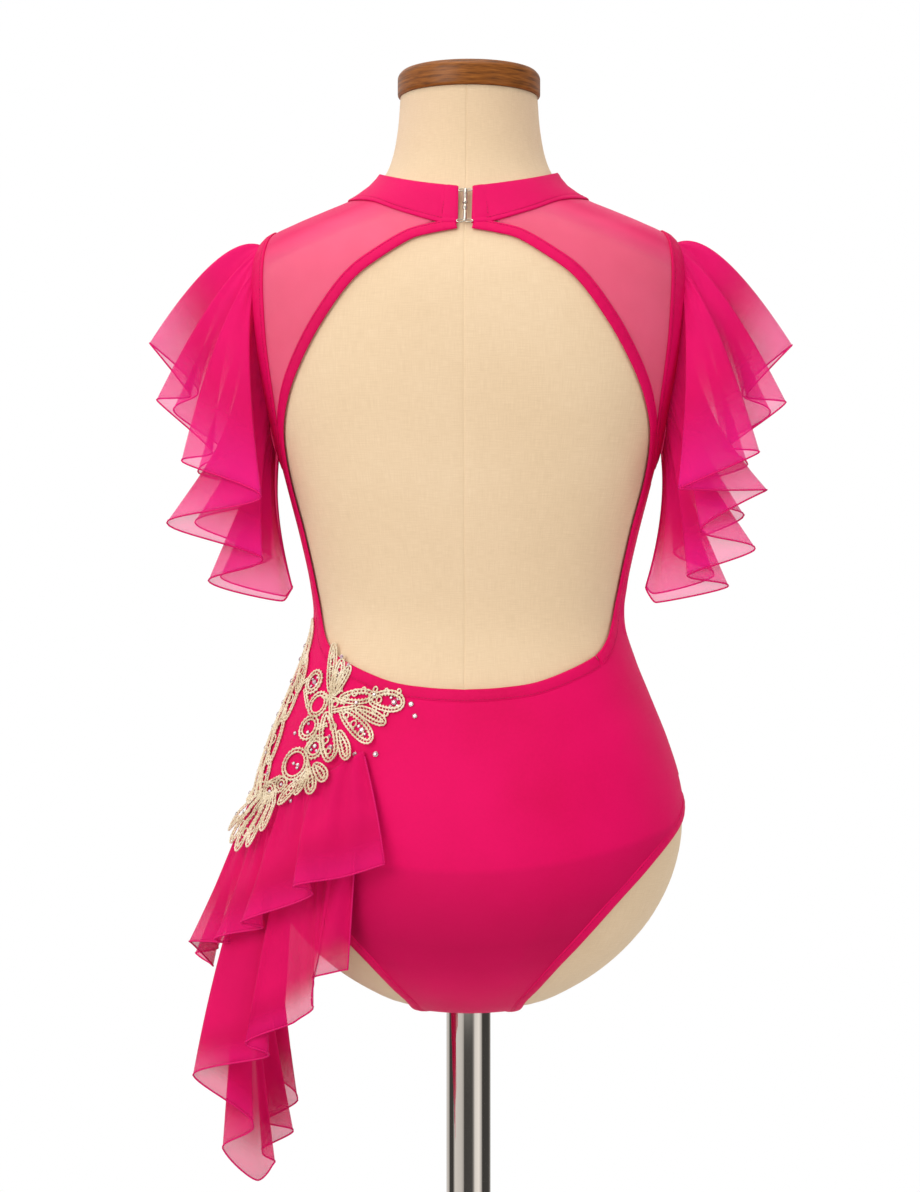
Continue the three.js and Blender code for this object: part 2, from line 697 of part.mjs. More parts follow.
// Left sleeve, from the front underarm over the shoulder to the back underarm.
// Root: front or back of the armhole and height on it. Bend: where the cloth turns, from the root.
const LEFT_SLEEVE = [
  { face: "front", rootZ: 1225, bend: [-6, 2, -45], hem: [-144, 20, 1118] },
  { face: "front", rootZ: 1232, bend: [-6, 4, -44], hem: [-151, 31, 1110] },
  { face: "front", rootZ: 1240, bend: [-14, 6, -36], hem: [-205, 41, 1126] },
  { face: "front", rootZ: 1251, bend: [-8, 8, -50], hem: [-164, 48, 1142] },
  { face: "front", rootZ: 1272, bend: [-24, 10, -40], hem: [-228, 58, 1171] },
  { face: "front", rootZ: 1300, bend: [-12, 12, -50], hem: [-164, 69, 1192] },
  { face: "front", rootZ: 1364, bend: [-28, 12, -34], hem: [-226, 54, 1213] },
  { face: "front", rootZ: 1376, bend: [-24, 10, -44], hem: [-203, 41, 1229] },
  { face: "front", rootZ: 1384, bend: [-34, 5, -22], hem: [-242, 28, 1262] },
  { face: "front", rootZ: 1388, bend: [-36, 5, -22], hem: [-219, 15, 1276] },
  { face: "back", rootZ: 1390.8, bend: [-46, -2, 0], hem: [-256, 0, 1313] },
  { face: "back", rootZ: 1388, bend: [-34, -6, -22], hem: [-221, -13, 1269] },
  { face: "back", rootZ: 1384, bend: [-34, -4, -22], hem: [-247, -26, 1266] },
  { face: "back", rootZ: 1376, bend: [-24, -10, -44], hem: [-200, -39, 1223] },
  { face: "back", rootZ: 1366, bend: [-28, -12, -34], hem: [-223, -53, 1216] },
  { face: "back", rootZ: 1296, bend: [-12, -10, -50], hem: [-158, -68, 1187] },
  { face: "back", rootZ: 1270, bend: [-24, -10, -40], hem: [-234, -57, 1167] },
  { face: "back", rootZ: 1250, bend: [-8, -8, -50], hem: [-160, -47, 1139] },
  { face: "back", rootZ: 1240, bend: [-14, -6, -36], hem: [-203, -40, 1122] },
  { face: "back", rootZ: 1231, bend: [-6, -4, -44], hem: [-147, -30, 1106] },
  { face: "back", rootZ: 1225, bend: [-6, -2, -45], hem: [-140, -19, 1116] },
];
const RIGHT_SLEEVE = [
  { face: "front", rootZ: 1225, bend: [6, 2, -45], hem: [142, 20, 1119] },
  { face: "front", rootZ: 1232, bend: [6, 4, -44], hem: [150, 31, 1112] },
  { face: "front", rootZ: 1240, bend: [14, 6, -36], hem: [199, 41, 1128] },
  { face: "front", rootZ: 1251, bend: [8, 8, -50], hem: [166, 48, 1146] },
  { face: "front", rootZ: 1272, bend: [24, 10, -40], hem: [223, 58, 1176] },
  { face: "front", rootZ: 1300, bend: [12, 12, -50], hem: [166, 69, 1194] },
  { face: "front", rootZ: 1364, bend: [28, 12, -34], hem: [227, 54, 1218] },
  { face: "front", rootZ: 1376, bend: [24, 10, -44], hem: [205, 41, 1232] },
  { face: "front", rootZ: 1384, bend: [34, 5, -22], hem: [243, 28, 1258] },
  { face: "front", rootZ: 1388, bend: [36, 5, -22], hem: [219, 15, 1274] },
  { face: "back", rootZ: 1390.8, bend: [46, -2, 0], hem: [258, 0, 1310] },
  { face: "back", rootZ: 1388, bend: [34, -6, -22], hem: [220, -13, 1268] },
  { face: "back", rootZ: 1384, bend: [34, -4, -22], hem: [250, -26, 1262] },
  { face: "back", rootZ: 1376, bend: [24, -10, -44], hem: [204, -39, 1226] },
  { face: "back", rootZ: 1366, bend: [28, -12, -34], hem: [228, -53, 1222] },
  { face: "back", rootZ: 1298, bend: [12, -12, -50], hem: [163, -71, 1192] },
  { face: "back", rootZ: 1276, bend: [26, -7, -34], hem: [233, -51, 1192] },
  { face: "back", rootZ: 1268, bend: [14, -9, -44], hem: [182, -51, 1161] },
  { face: "back", rootZ: 1256, bend: [20, -8, -38], hem: [225, -46, 1147] },
  { face: "back", rootZ: 1245, bend: [10, -7, -46], hem: [173, -40, 1126] },
  { face: "back", rootZ: 1238, bend: [14, -6, -40], hem: [205, -34, 1118] },
  { face: "back", rootZ: 1231, bend: [6, -4, -44], hem: [149, -27, 1105] },
  { face: "back", rootZ: 1225, bend: [6, -2, -45], hem: [141, -18, 1117] },
];
const SLEEVE_INSET = 1.0; // the sleeve's root lies this far inside the armhole's edge
const SLEEVE_LIFT = 1.8;
const UNDERARM_LIFT = 4.4; // under the arm the root lies on the binding
const armholeRoot = movedAside(armholeEdge, SLEEVE_INSET, 1, true);

// The turn on the armhole, from -90 under the arm at the front to 270 at the back, of a root.
function sleevePlace({ face, rootZ }) {
  const rise = clamp((rootZ - ARMHOLE.z) / ARMHOLE.halfHeight, -1, 1);
  const turn = (Math.asin(Math.sign(rise) * Math.abs(rise) ** (ARMHOLE.power / 2)) * 180) / Math.PI;
  return face === "back" ? 180 - turn : turn;
}

// The root of a sleeve at a turn, just inside the binding's free edge.
function sleeveRoot(side) {
  return (turn) => {
    const at = (((turn - 90) / 360) * ARM_STEPS + 2 * ARM_STEPS) % ARM_STEPS;
    const i = Math.floor(at);
    const a = armholeRoot[i % ARM_STEPS];
    const b = armholeRoot[(i + 1) % ARM_STEPS];
    const level = mix(a[1], b[1], at - i);
    const lift = mix(UNDERARM_LIFT, SLEEVE_LIFT, smooth(clamp((ringAt(level)[0] - 1236) / 26, 0, 1)));
    return lifted(side * mix(a[0], b[0], at - i), level, lift);
  };
}

// The line that the hip drape is gathered on, from the back round to the front: angle, z
const GATHER_ROWS = [
  [-39.5, 991],
  [-44, 984],
  [-49, 976],
  [-55, 966],
  [-61, 955],
  [-67, 945],
  [-73, 937],
  [-80, 934],
  [-88, 935],
  [-97, 938],
  [-107, 941],
  [-117, 943],
];
const gatherRoot = (lift) => (share) => {
  const [angle, z] = alongRows(GATHER_ROWS, clamp(share, 0, 1) * (GATHER_ROWS.length - 1));
  return lifted(angle, levelAt(z), lift);
};

// Upper tier of the hip drape: at = share of the gathered line.
const UPPER_TIER = [
  { at: 0.0, bend: [12, -14, -42], hem: [-59, -121, 908] },
  { at: 0.1, bend: [-4, -16, -42], hem: [-92, -128, 899] },
  { at: 0.24, bend: [-12, -20, -36], hem: [-126, -131, 892] },
  { at: 0.3, bend: [-4, -16, -44], hem: [-112, -120, 886] },
  { at: 0.4, bend: [-12, -16, -44], hem: [-168, -110, 862] },
  { at: 0.46, bend: [-10, -12, -46], hem: [-154, -98, 857] },
  { at: 0.54, bend: [-12, -10, -44], hem: [-193, -88, 847] },
  { at: 0.6, bend: [-10, -7, -44], hem: [-181, -76, 842] },
  { at: 0.68, bend: [-14, -6, -40], hem: [-215, -62, 841] },
  { at: 0.75, bend: [-12, 0, -44], hem: [-199, -42, 819] },
  { at: 0.82, bend: [-14, 2, -42], hem: [-215, -22, 826] },
  { at: 0.88, bend: [-12, 4, -42], hem: [-201, -2, 828] },
  { at: 0.94, bend: [-12, 6, -42], hem: [-209, 20, 834] },
  { at: 1.0, bend: [-9, 8, -40], hem: [-186, 44, 842] },
];
// Lower tier: the long one.
const LOWER_TIER = [
  { at: 0.02, bend: [-2, -21, -70], hem: [-88, -105, 826] },
  { at: 0.1, bend: [-6, -19, -70], hem: [-114, -108, 820] },
  { at: 0.22, bend: [-5, -12, -75], hem: [-114, -106, 799] },
  { at: 0.28, bend: [-8, -13, -75], hem: [-127, -113, 788] },
  { at: 0.36, bend: [-14, -14, -80], hem: [-164, -119, 773] },
  { at: 0.42, bend: [-8, -12, -85], hem: [-148, -109, 762] },
  { at: 0.5, bend: [-16, -10, -85], hem: [-206, -99, 744] },
  { at: 0.55, bend: [-8, -9, -95], hem: [-161, -89, 705] },
  { at: 0.6, bend: [-12, -8, -95], hem: [-186, -79, 684] },
  { at: 0.66, bend: [-7, -6, -100], hem: [-161, -68, 657] },
  { at: 0.7, bend: [-5, -5, -100], hem: [-150, -59, 669] },
  { at: 0.74, bend: [-6, -3, -100], hem: [-161, -50, 676] },
  { at: 0.79, bend: [-4, -2, -98], hem: [-136, -41, 690] },
  { at: 0.84, bend: [-6, -1, -96], hem: [-160, -34, 696] },
  { at: 0.88, bend: [-4, 1, -90], hem: [-134, -22, 712] },
  { at: 0.92, bend: [-6, 3, -84], hem: [-164, -4, 738] },
  { at: 0.96, bend: [-5, 4, -76], hem: [-150, 16, 764] },
  { at: 1.0, bend: [-6, 6, -66], hem: [-176, 38, 794] },
];
const LOWER_LIFT = 4.0;
const UPPER_LIFT = 5.5;

function flounces() {
  const sleeve = { between: 3, lengthSteps: 5, placeOf: sleevePlace };
  const drape = { between: 2, lengthSteps: 6, placeOf: (fold) => fold.at };
  return [
    flounce("flutter_sleeve_left", LEFT_SLEEVE, CHIFFON, { ...sleeve, rootOf: sleeveRoot(-1) }),
    flounce("flutter_sleeve_right", [...RIGHT_SLEEVE].reverse(), CHIFFON, { ...sleeve, rootOf: sleeveRoot(1) }),
    flounce("hip_drape_upper", [...UPPER_TIER].reverse(), CHIFFON, { ...drape, rootOf: gatherRoot(UPPER_LIFT) }),
    flounce("hip_drape_lower", [...LOWER_TIER].reverse(), CHIFFON, { ...drape, rootOf: gatherRoot(LOWER_LIFT) }),
  ];
}

// ---- cord lace ----
// Petals are cord loops from a base to a tip; rings are round; stems are single cords.
// Columns: across, z, to across, to z, half width (a ring's radius stands in the last column).
const LACE_PETALS = [
  [-150, 1036, -162, 1071, 3.4],
  [-147, 1036, -147, 1059, 4.0],
  [-144, 1033, -137, 1054, 3.0],
  [-137, 1030, -102, 1033, 4.2],
  [-106, 1030, -72, 1027, 6.4],
  [-125, 1025, -88, 1013, 3.2],
  [-133, 1022, -96, 998, 5.4],
  [-137, 1020, -118, 991, 4.2],
  [-144, 1018, -131, 983, 6.2],
  [-147, 976, -135, 958, 3.6],
  [-144, 979, -127, 967, 3.6],
  [-149, 974, -147, 959, 3.0],
  [-152, 966, -162, 949, 4.2],
  [-200, 1056, -217, 1089, 3.2],
  [-186, 1034, -200, 1062, 4.2],
  [-191, 1015, -197, 1053, 4.0],
  [-201, 1000, -190, 1040, 4.6],
  [-193, 976, -192, 1012, 4.0],
  [-203, 968, -208, 1004, 4.2],
  [-187, 956, -191, 982, 4.2],
  [-205, 948, -205, 974, 4.2],
  [-196, 954, -238, 922, 4.2],
  [-190, 952, -226, 918, 4.4],
  [-185, 954, -202, 918, 5.0],
  [-180, 954, -181, 931, 3.6],
];
const LACE_RINGS = [
  [-172, 1042, 7.4],
  [-159, 1025, 8.0],
  [-160, 1007, 7.6],
  [-163, 979, 10.6],
  [-149, 992, 6.6],
  [-172, 963, 4.6],
  [-184, 957, 5.4],
];
const LACE_STEMS = [
  [-156, 1032, -132, 1027],
  [-149, 1033, -138, 1037],
  [-142, 1020, -120, 1024],
  [-150, 1036, -141, 1014],
  [-152, 1006, -143, 1010],
  [-156, 990, -150, 1002],
  [-176, 968, -190, 962],
  [-180, 1044, -192, 1038],
  [-168, 1022, -180, 1036],
  [-152, 981, -146, 972],
  [-190, 982, -191, 1018],
  [-195, 1000, -205, 968],
  [-205, 974, -196, 950],
  [-200, 1030, -190, 1052],
];

function petalLoop([a, z, toA, toZ, half], grow, steps = 8) {
  const along = new THREE.Vector2(toA - a, toZ - z);
  const length = along.length();
  along.normalize();
  const points = [];
  for (let i = 0; i < steps; i += 1) {
    const turn = (2 * Math.PI * i) / steps;
    const t = 0.5 - 0.5 * Math.cos(turn);
    const d = mix(-grow, length + grow, t);
    const w = Math.sin(turn) * (half + grow) * (0.72 + 0.36 * t);
    points.push([a + along.x * d - along.y * w, z + along.y * d + along.x * w]);
  }
  return points;
}

function discLoop(a, z, radius, steps = 11) {
  return Array.from({ length: steps }, (_, i) => {
    const turn = (2 * Math.PI * i) / steps;
    return [a + radius * Math.cos(turn), z + radius * Math.sin(turn)];
  });
}

function stemLoop([a, z, toA, toZ]) {
  const length = Math.hypot(toA - a, toZ - z);
  const across = [((z - toZ) / length) * (LACE_CORD / 2), ((toA - a) / length) * (LACE_CORD / 2)];
  return [
    [a - across[0], z - across[1]],
    [toA - across[0], toZ - across[1]],
    [toA + across[0], toZ + across[1]],
    [a + across[0], z + across[1]],
  ];
}

// The lace drawn flat: every loop's cord, with the gaps inside the loops left open.
function laceShape() {
  const { CrossSection } = kernel;
  const cord = LACE_CORD / 2;
  const shape = (loop) => new CrossSection([loop], "NonZero");
  let all = null;
  const add = (piece) => {
    all = all ? all.add(piece) : piece;
  };
  for (const petal of LACE_PETALS) {
    const rim = shape(petalLoop(petal, cord));
    add(petal[4] > 2.6 ? rim.subtract(shape(petalLoop(petal, -cord * 0.8, 6))) : rim);
  }
  for (const [a, z, radius] of LACE_RINGS) {
    add(shape(discLoop(a, z, radius + cord)).subtract(shape(discLoop(a, z, radius - cord * 0.8, 8))));
  }
  for (const stem of LACE_STEMS) add(shape(stemLoop(stem)));
  return all.simplify(0.45);
}

// How high the lace lies: on the panels above, and over the drape's gathers lower down.
function laceLift(angle, z) {
  const at = clamp((-angle - 39.5) / (117 - 39.5), 0, 1);
  let lineZ = GATHER_ROWS[GATHER_ROWS.length - 1][1];
  for (let i = 0; i < GATHER_ROWS.length - 1; i += 1) {
    const [a0, z0] = GATHER_ROWS[i];
    const [a1, z1] = GATHER_ROWS[i + 1];
    if (-angle >= -a0 && -angle <= -a1) lineZ = mix(z0, z1, (angle - a0) / (a1 - a0));
  }
  if (at === 0) lineZ = GATHER_ROWS[0][1];
  const above = z - lineZ;
  if (above > 16 || -angle < 36) return 3.4;
  if (above > 2) return mix(7.0, 3.4, smooth((above - 2) / 14));
  return 7.0 + 0.6 * (2 - above);
}

function lacePiece() {
  const solid = kernel.Manifold.extrude(laceShape(), 1);
  const mesh = solid.getMesh();
  const points = [];
  for (let i = 0; i < mesh.vertProperties.length; i += mesh.numProp) {
    const [a, z, h] = mesh.vertProperties.slice(i, i + 3);
    const angle = a / LACE_DEG_TO_MM;
    points.push(lifted(angle, levelAt(z), laceLift(angle, z) + h * LACE_WALL));
  }
  const triangles = [];
  for (let i = 0; i < mesh.triVerts.length; i += 3) triangles.push([...mesh.triVerts.slice(i, i + 3)]);
  return meshOf("lace_applique", points, triangles, LACE_CREAM);
}

// ---- closure ----
function rodBetween(from, to, radius) {
  const along = to.clone().sub(from);
  const turn = new THREE.Quaternion().setFromUnitVectors(new THREE.Vector3(0, 0, 1), along.clone().normalize());
  const matrix = new THREE.Matrix4().compose(from, turn, new THREE.Vector3(1, 1, 1));
  return kernel.Manifold.cylinder(along.length(), radius, radius, 6).transform(matrix.elements);
}

function fromKernel(name, solid, look) {
  const mesh = solid.getMesh();
  const points = [];
  for (let i = 0; i < mesh.vertProperties.length; i += mesh.numProp) {
    points.push(new THREE.Vector3(...mesh.vertProperties.slice(i, i + 3)));
  }
  const triangles = [];
  for (let i = 0; i < mesh.triVerts.length; i += 3) triangles.push([...mesh.triVerts.slice(i, i + 3)]);
  return meshOf(name, points, triangles, look);
}

// Hook and eye at the middle of the back: an eye bar with two arms, and a hook's two arms.
function closurePieces() {
  const at = (x, z, out) => {
    const level = levelAt(z);
    return lifted((Math.atan2(x, 75) * 180) / Math.PI, level, out);
  };
  const low = 1397.5;
  const high = 1423;
  const barTop = at(0.7, high, 3.6);
  const barFoot = at(0.7, low, 3.0);
  const reach = COLLAR_END_X - 0.9;
  const eye = rodBetween(barFoot, barTop, 1.3)
    .add(rodBetween(at(0.7, low + 1, 3.0), at(reach, low + 1, 3.0), 0.7))
    .add(rodBetween(at(0.7, high - 1, 3.6), at(reach, high - 1, 3.8), 0.7));
  const hookX = -1.6;
  const hook = rodBetween(at(hookX, low + 4, 3.2), at(hookX, high - 4, 3.6), 0.8)
    .add(rodBetween(at(hookX, low + 5, 3.2), at(-reach, low + 5, 3.2), 0.7))
    .add(rodBetween(at(hookX, high - 5, 3.6), at(-reach, high - 5, 3.7), 0.7));
  return [fromKernel("closure_eye", eye, STEEL), fromKernel("closure_hook", hook, STEEL)];
}

// ---- the dress form ----
function formTorso() {
  const columns = 30;
  const levels = [];
  for (let level = 0; level <= TOP_RING; level += 1) {
    levels.push(level);
  }
  const points = [];
  for (const level of levels) {
    for (let c = 0; c < columns; c += 1) points.push(lifted(-180 + (360 * c) / columns, level, -FORM_EASE));
  }
  const faces = gridFaces(levels.length, columns, true);
  const triangles = faces.flatMap((face) => splitFace(face, points));
  const foot = points.length;
  points.push(new THREE.Vector3(0, 0, FORM_RINGS[0][0]));
  const head = points.length;
  points.push(new THREE.Vector3(0, FORM_RINGS[TOP_RING][4], FORM_RINGS[TOP_RING][0]));
  const topStart = (levels.length - 1) * columns;
  for (let c = 0; c < columns; c += 1) {
    const d = (c + 1) % columns;
    triangles.push([foot, d, c]);
    triangles.push([head, topStart + c, topStart + d]);
  }
  return meshOf("form_torso", points, triangles, LINEN);
}

// A turned piece from its profile of [radius, height], standing on the middle line.
function turned(name, profile, look, y = 0, segments = 36) {
  const points = profile.map(([r, z]) => new THREE.Vector2(r, z));
  const geometry = new THREE.LatheGeometry(points, segments);
  geometry.rotateX(Math.PI / 2);
  geometry.translate(0, y, 0);
  const mesh = new THREE.Mesh(geometry, new THREE.MeshStandardMaterial(look));
  mesh.name = name;
  return mesh;
}

function neckCap() {
  const { radius, bottom, height, y } = NECK_CAP;
  const top = bottom + height;
  const profile = [
    [0, bottom],
    [radius - 1.5, bottom],
    [radius, bottom + 1.5],
    [radius, top - 4.5],
    [radius - 1.6, top - 1.4],
    [radius - 5, top],
    [0, top],
  ];
  return turned("neck_cap", profile, WOOD, y, 28);
}

function standPieces() {
  const { radius, height, hubRadius, hubHeight } = BASE;
  const base = [
    [0, 0],
    [radius - 1, 0],
    [radius, 1],
    [radius, height - 2.5],
    [radius - 2.5, height],
    [hubRadius + 8, height + 1.5],
    [hubRadius, height + 4],
    [hubRadius - 7, hubHeight],
    [0, hubHeight],
  ];
  const pole = [
    [0, hubHeight + SEAM_GAP],
    [POLE_RADIUS, hubHeight + SEAM_GAP],
    [POLE_RADIUS, FORM_RINGS[0][0] - SEAM_GAP],
    [0, FORM_RINGS[0][0] - SEAM_GAP],
  ];
  return [turned("base", base, CHROME, 0, 32), turned("pole", pole, CHROME, 0, 24)];
}

const group = new THREE.Group();
group.add(
  collarPiece(),
  yokePiece("yoke_right", 1),
  yokePiece("yoke_left", -1),
  backPanel(),
  frontPanel(),
  ...bindings(),
  ...flounces(),
  lacePiece(),
  ...closurePieces(),
  formTorso(),
  neckCap(),
  ...standPieces(),
);
export default group;
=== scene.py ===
# Lyrical dance bodysuit, open at the back, on its limbless dress form.
# Sizes are in millimetres and are turned into metres as each mesh is made; the studio is in metres.
import math

import bpy
import numpy as np
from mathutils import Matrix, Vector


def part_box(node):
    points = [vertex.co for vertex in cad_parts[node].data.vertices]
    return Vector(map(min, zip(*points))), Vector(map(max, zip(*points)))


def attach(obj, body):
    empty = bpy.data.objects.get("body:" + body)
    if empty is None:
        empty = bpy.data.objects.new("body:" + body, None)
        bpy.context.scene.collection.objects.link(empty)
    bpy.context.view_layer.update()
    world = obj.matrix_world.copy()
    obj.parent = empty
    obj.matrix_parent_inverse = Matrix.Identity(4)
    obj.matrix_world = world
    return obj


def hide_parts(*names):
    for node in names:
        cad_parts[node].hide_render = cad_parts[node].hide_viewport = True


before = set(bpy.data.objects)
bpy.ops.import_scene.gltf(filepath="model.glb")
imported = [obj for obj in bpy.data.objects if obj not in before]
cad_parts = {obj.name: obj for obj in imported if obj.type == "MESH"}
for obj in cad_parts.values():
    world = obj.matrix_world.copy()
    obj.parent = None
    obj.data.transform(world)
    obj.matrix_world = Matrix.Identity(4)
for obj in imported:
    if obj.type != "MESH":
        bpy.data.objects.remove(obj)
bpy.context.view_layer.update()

# ---- Camera and studio ----
# The camera stands 2 m behind the wearer, at waist height and a little to the left of square.
# Walls and floor are pale; big soft lamps stand round it and overhead, two of them out of the
# chrome's reflections.
CAMERA_TURN = math.radians(2.3)
CAMERA_AWAY = 2.0
CAMERA_ASIDE = -0.0068
CAMERA_HEIGHT = 1.110
FOCAL_SHARE = 2500 / 1192  # lens against the picture's height
camera_data = bpy.data.cameras.new("camera")
camera = bpy.data.objects.new("camera", camera_data)
bpy.context.scene.collection.objects.link(camera)
camera_data.sensor_fit = "VERTICAL"
camera_data.sensor_height = 24.0
camera_data.lens = 24.0 * FOCAL_SHARE
camera_data.clip_end = 50
camera.location = (
    CAMERA_AWAY * math.sin(CAMERA_TURN) + CAMERA_ASIDE * math.cos(CAMERA_TURN),
    -CAMERA_AWAY * math.cos(CAMERA_TURN) + CAMERA_ASIDE * math.sin(CAMERA_TURN),
    CAMERA_HEIGHT,
)
camera.rotation_euler = (math.radians(90), 0, CAMERA_TURN)
bpy.context.scene.camera = camera
bpy.context.scene.view_settings.view_transform = "Standard"


class Nodes:
    """A node tree with short ways to add to it."""

    def __init__(self, tree):
        self.tree = tree

    def node(self, kind, inputs=(), **settings):
        new = self.tree.nodes.new("ShaderNode" + kind)
        for key, value in settings.items():
            setattr(new, key, value)
        for key, value in dict(inputs).items():
            if isinstance(value, bpy.types.NodeSocket):
                self.tree.links.new(value, new.inputs[key])
            else:
                new.inputs[key].default_value = value
        return new

    def maths(self, operation, a, b):
        return self.node("Math", {0: a, 1: b}, operation=operation).outputs[0]

    def ramp(self, factor, stops):
        new = self.node("ValToRGB", {"Fac": factor})
        while len(new.color_ramp.elements) < len(stops):
            new.color_ramp.elements.new(0.5)
        for stop, (at, colour) in zip(new.color_ramp.elements, stops):
            stop.position = at
            stop.color = (*colour, 1)
        return new.outputs["Color"]


# Tones of the room round the turn, 0.5 behind the camera: walls above, floor and stands below.
WALLS = [(0.0, 0.75), (0.2, 1.05), (0.35, 1.0), (0.5, 0.8), (0.62, 0.55), (0.8, 0.42), (1.0, 0.6)]
LOWER_ROOM = [
    (0.0, 0.4), (0.09, 0.7), (0.16, 0.5), (0.19, 0.05), (0.265, 0.05), (0.3, 0.68), (0.4, 0.6), (0.43, 0.45),
    (0.445, 0.06), (0.555, 0.07), (0.575, 0.2), (0.6, 0.78), (0.66, 0.92), (0.7, 0.5), (0.72, 0.05), (0.87, 0.06),
    (0.93, 0.3), (1.0, 0.4),
]
WALLS_SHARPNESS = 12.0
studio = bpy.data.worlds.new("studio")
bpy.context.scene.world = studio
studio.use_nodes = True
studio.node_tree.nodes.clear()
sky = Nodes(studio.node_tree)
place = sky.node("SeparateXYZ", {0: sky.node("TexCoord").outputs["Generated"]}).outputs
turned_by = sky.maths("ARCTAN2", place["X"], sky.maths("MULTIPLY", place["Y"], -1.0))
halfway = {"operation": "MULTIPLY_ADD", "use_clamp": True}
around = sky.node("Math", {0: turned_by, 1: 1 / math.tau, 2: 0.5}, **halfway).outputs[0]
raised = sky.node("Math", {0: place["Z"], 1: WALLS_SHARPNESS, 2: 0.5}, **halfway).outputs[0]
lower, upper = (sky.ramp(around, [(at, (tone,) * 3) for at, tone in tones]) for tones in (LOWER_ROOM, WALLS))
room = sky.node("MixRGB", {0: raised, 1: lower, 2: upper}).outputs[0]
lit = sky.node("Background", {"Color": (1.0, 0.985, 0.965, 1), "Strength": room}).outputs[0]
seen = sky.node("Background", {"Color": (1, 1, 1, 1), "Strength": 1.0}).outputs[0]
by_camera = sky.node("LightPath").outputs["Is Camera Ray"]
sky.node("OutputWorld", {"Surface": sky.node("MixShader", {0: by_camera, 1: lit, 2: seen}).outputs[0]})

AIMED_AT = (0, 0, 1.1)
HIDDEN_FROM_CHROME = ("fill_lamp", "front_lamp")
FLOOR_RADIUS = 2.2
LAMPS = [  # name, place, width, watts
    ("key_lamp", (-1.7, -2.3, 2.2), 1.8, 42),
    ("fill_lamp", (2.1, -2.0, 1.2), 1.8, 18),
    ("front_lamp", (2.0, 1.9, 1.7), 1.8, 22),
    ("overhead_lamp", (0.0, -0.2, 3.2), 1.6, 17),
]
for name, spot, width, watts in LAMPS:
    data = bpy.data.lights.new(name, "AREA")
    data.size = width
    data.energy = watts
    data.color = (1.0, 0.975, 0.945)
    lamp = bpy.data.objects.new(name, data)
    bpy.context.scene.collection.objects.link(lamp)
    lamp.location = spot
    lamp.visible_glossy = name not in HIDDEN_FROM_CHROME
    aim = np.array(AIMED_AT) - np.array(spot)
    lamp.rotation_euler = (
        math.acos(-aim[2] / np.linalg.norm(aim)),
        0,
        math.atan2(aim[0], -aim[1]) + math.pi,
    )

floor_mesh = bpy.data.meshes.new("studio_floor")
spin = [math.tau * i / 96 for i in range(96)]
rim = [(FLOOR_RADIUS * math.cos(turn), FLOOR_RADIUS * math.sin(turn), -0.0005) for turn in spin]
floor_mesh.from_pydata(rim, [], [list(range(96))])
studio_floor = bpy.data.objects.new("studio_floor", floor_mesh)
bpy.context.scene.collection.objects.link(studio_floor)
floor_look = bpy.data.materials.new("pale_floor")
floor_look.use_nodes = True
floor_shader = floor_look.node_tree.nodes["Principled BSDF"]
floor_shader.inputs["Base Color"].default_value = (0.70, 0.70, 0.69, 1)
floor_shader.inputs["Roughness"].default_value = 0.7
floor_mesh.materials.append(floor_look)

# ---- Torso of the dress form ----
# A hard torso padded and covered in cream linen, drawn tight and closed by one seam
# down the middle of the back. Neck, arms and legs end in smooth rounds.
# Rings: z, half width, back depth, front depth, middle y, squareness.
TORSO_RINGS = np.array([
    (783.0, 19, 19, 19, 0, 2.0), (783.6, 36, 32, 30, 0, 2.0), (788.0, 60, 50, 44, 0, 2.05),
    (797.0, 80, 66, 57, 0, 2.1), (812.0, 104, 84, 71, 0, 2.15), (832.0, 127, 98, 82, 0, 2.2),
    (858.0, 148, 107, 90, 0, 2.2), (890.0, 163.5, 111, 95, 0, 2.2), (925.0, 170.5, 111, 97, 0, 2.2),
    (960.0, 167.0, 107, 96, 0, 2.2), (995.0, 156.5, 100, 93, 0, 2.2), (1030.0, 142.5, 91, 90, 0, 2.2),
    (1060.0, 130.5, 84, 88, 0, 2.2), (1090.0, 122.0, 80, 88, 0, 2.2), (1120.0, 124.5, 82, 91, 0, 2.2),
    (1155.0, 132.0, 87, 99, 0, 2.25), (1190.0, 141.0, 92, 108, 0, 2.3), (1225.0, 150.0, 96, 113, 0, 2.35),
    (1260.0, 158.5, 99, 113, 0, 2.4), (1295.0, 165.5, 100, 108, 0, 2.4), (1330.0, 170.0, 98, 99, 0, 2.35),
    (1360.0, 171.5, 93, 88, 0, 2.25), (1381.0, 168.0, 86, 79, 0, 2.15), (1395.0, 159.0, 80, 73, 1, 2.05),
    (1405.0, 140.0, 75, 69, 2, 2.0), (1414.0, 119.0, 71, 66, 3, 2.0), (1424.0, 95.0, 67, 63, 4, 2.0),
    (1434.0, 79.0, 63, 60, 6, 2.0), (1446.0, 68.5, 60, 58, 8, 2.0), (1462.0, 61.8, 57, 56, 9, 2.0),
    (1485.0, 57.6, 55.5, 55.5, 10, 2.0), (1510.0, 55.6, 55.6, 55.6, 10, 2.0),
])
LAST_RING = len(TORSO_RINGS) - 1
NECK_Y = 10
COVER_EASE = 0.55


def along_rows(rows, at):
    """A table's rows joined by one smooth curve through each column, read at any places."""
    rows = np.asarray(rows, float)
    last = len(rows) - 1
    at = np.asarray(at, float)
    i = np.clip(np.floor(at).astype(int), 0, last - 1)
    t = np.clip(at - i, 0, 1)[..., None]
    longer = np.vstack([2 * rows[0] - rows[1], rows, 2 * rows[last] - rows[last - 1]])
    p0, p1, p2, p3 = (longer[i + k] for k in range(4))
    first = (2 * t**3 - 3 * t**2 + 1) * p1 + (t**3 - 2 * t**2 + t) * (p2 - p0) / 2
    return first + (3 * t**2 - 2 * t**3) * p2 + (t**3 - t**2) * (p3 - p1) / 2


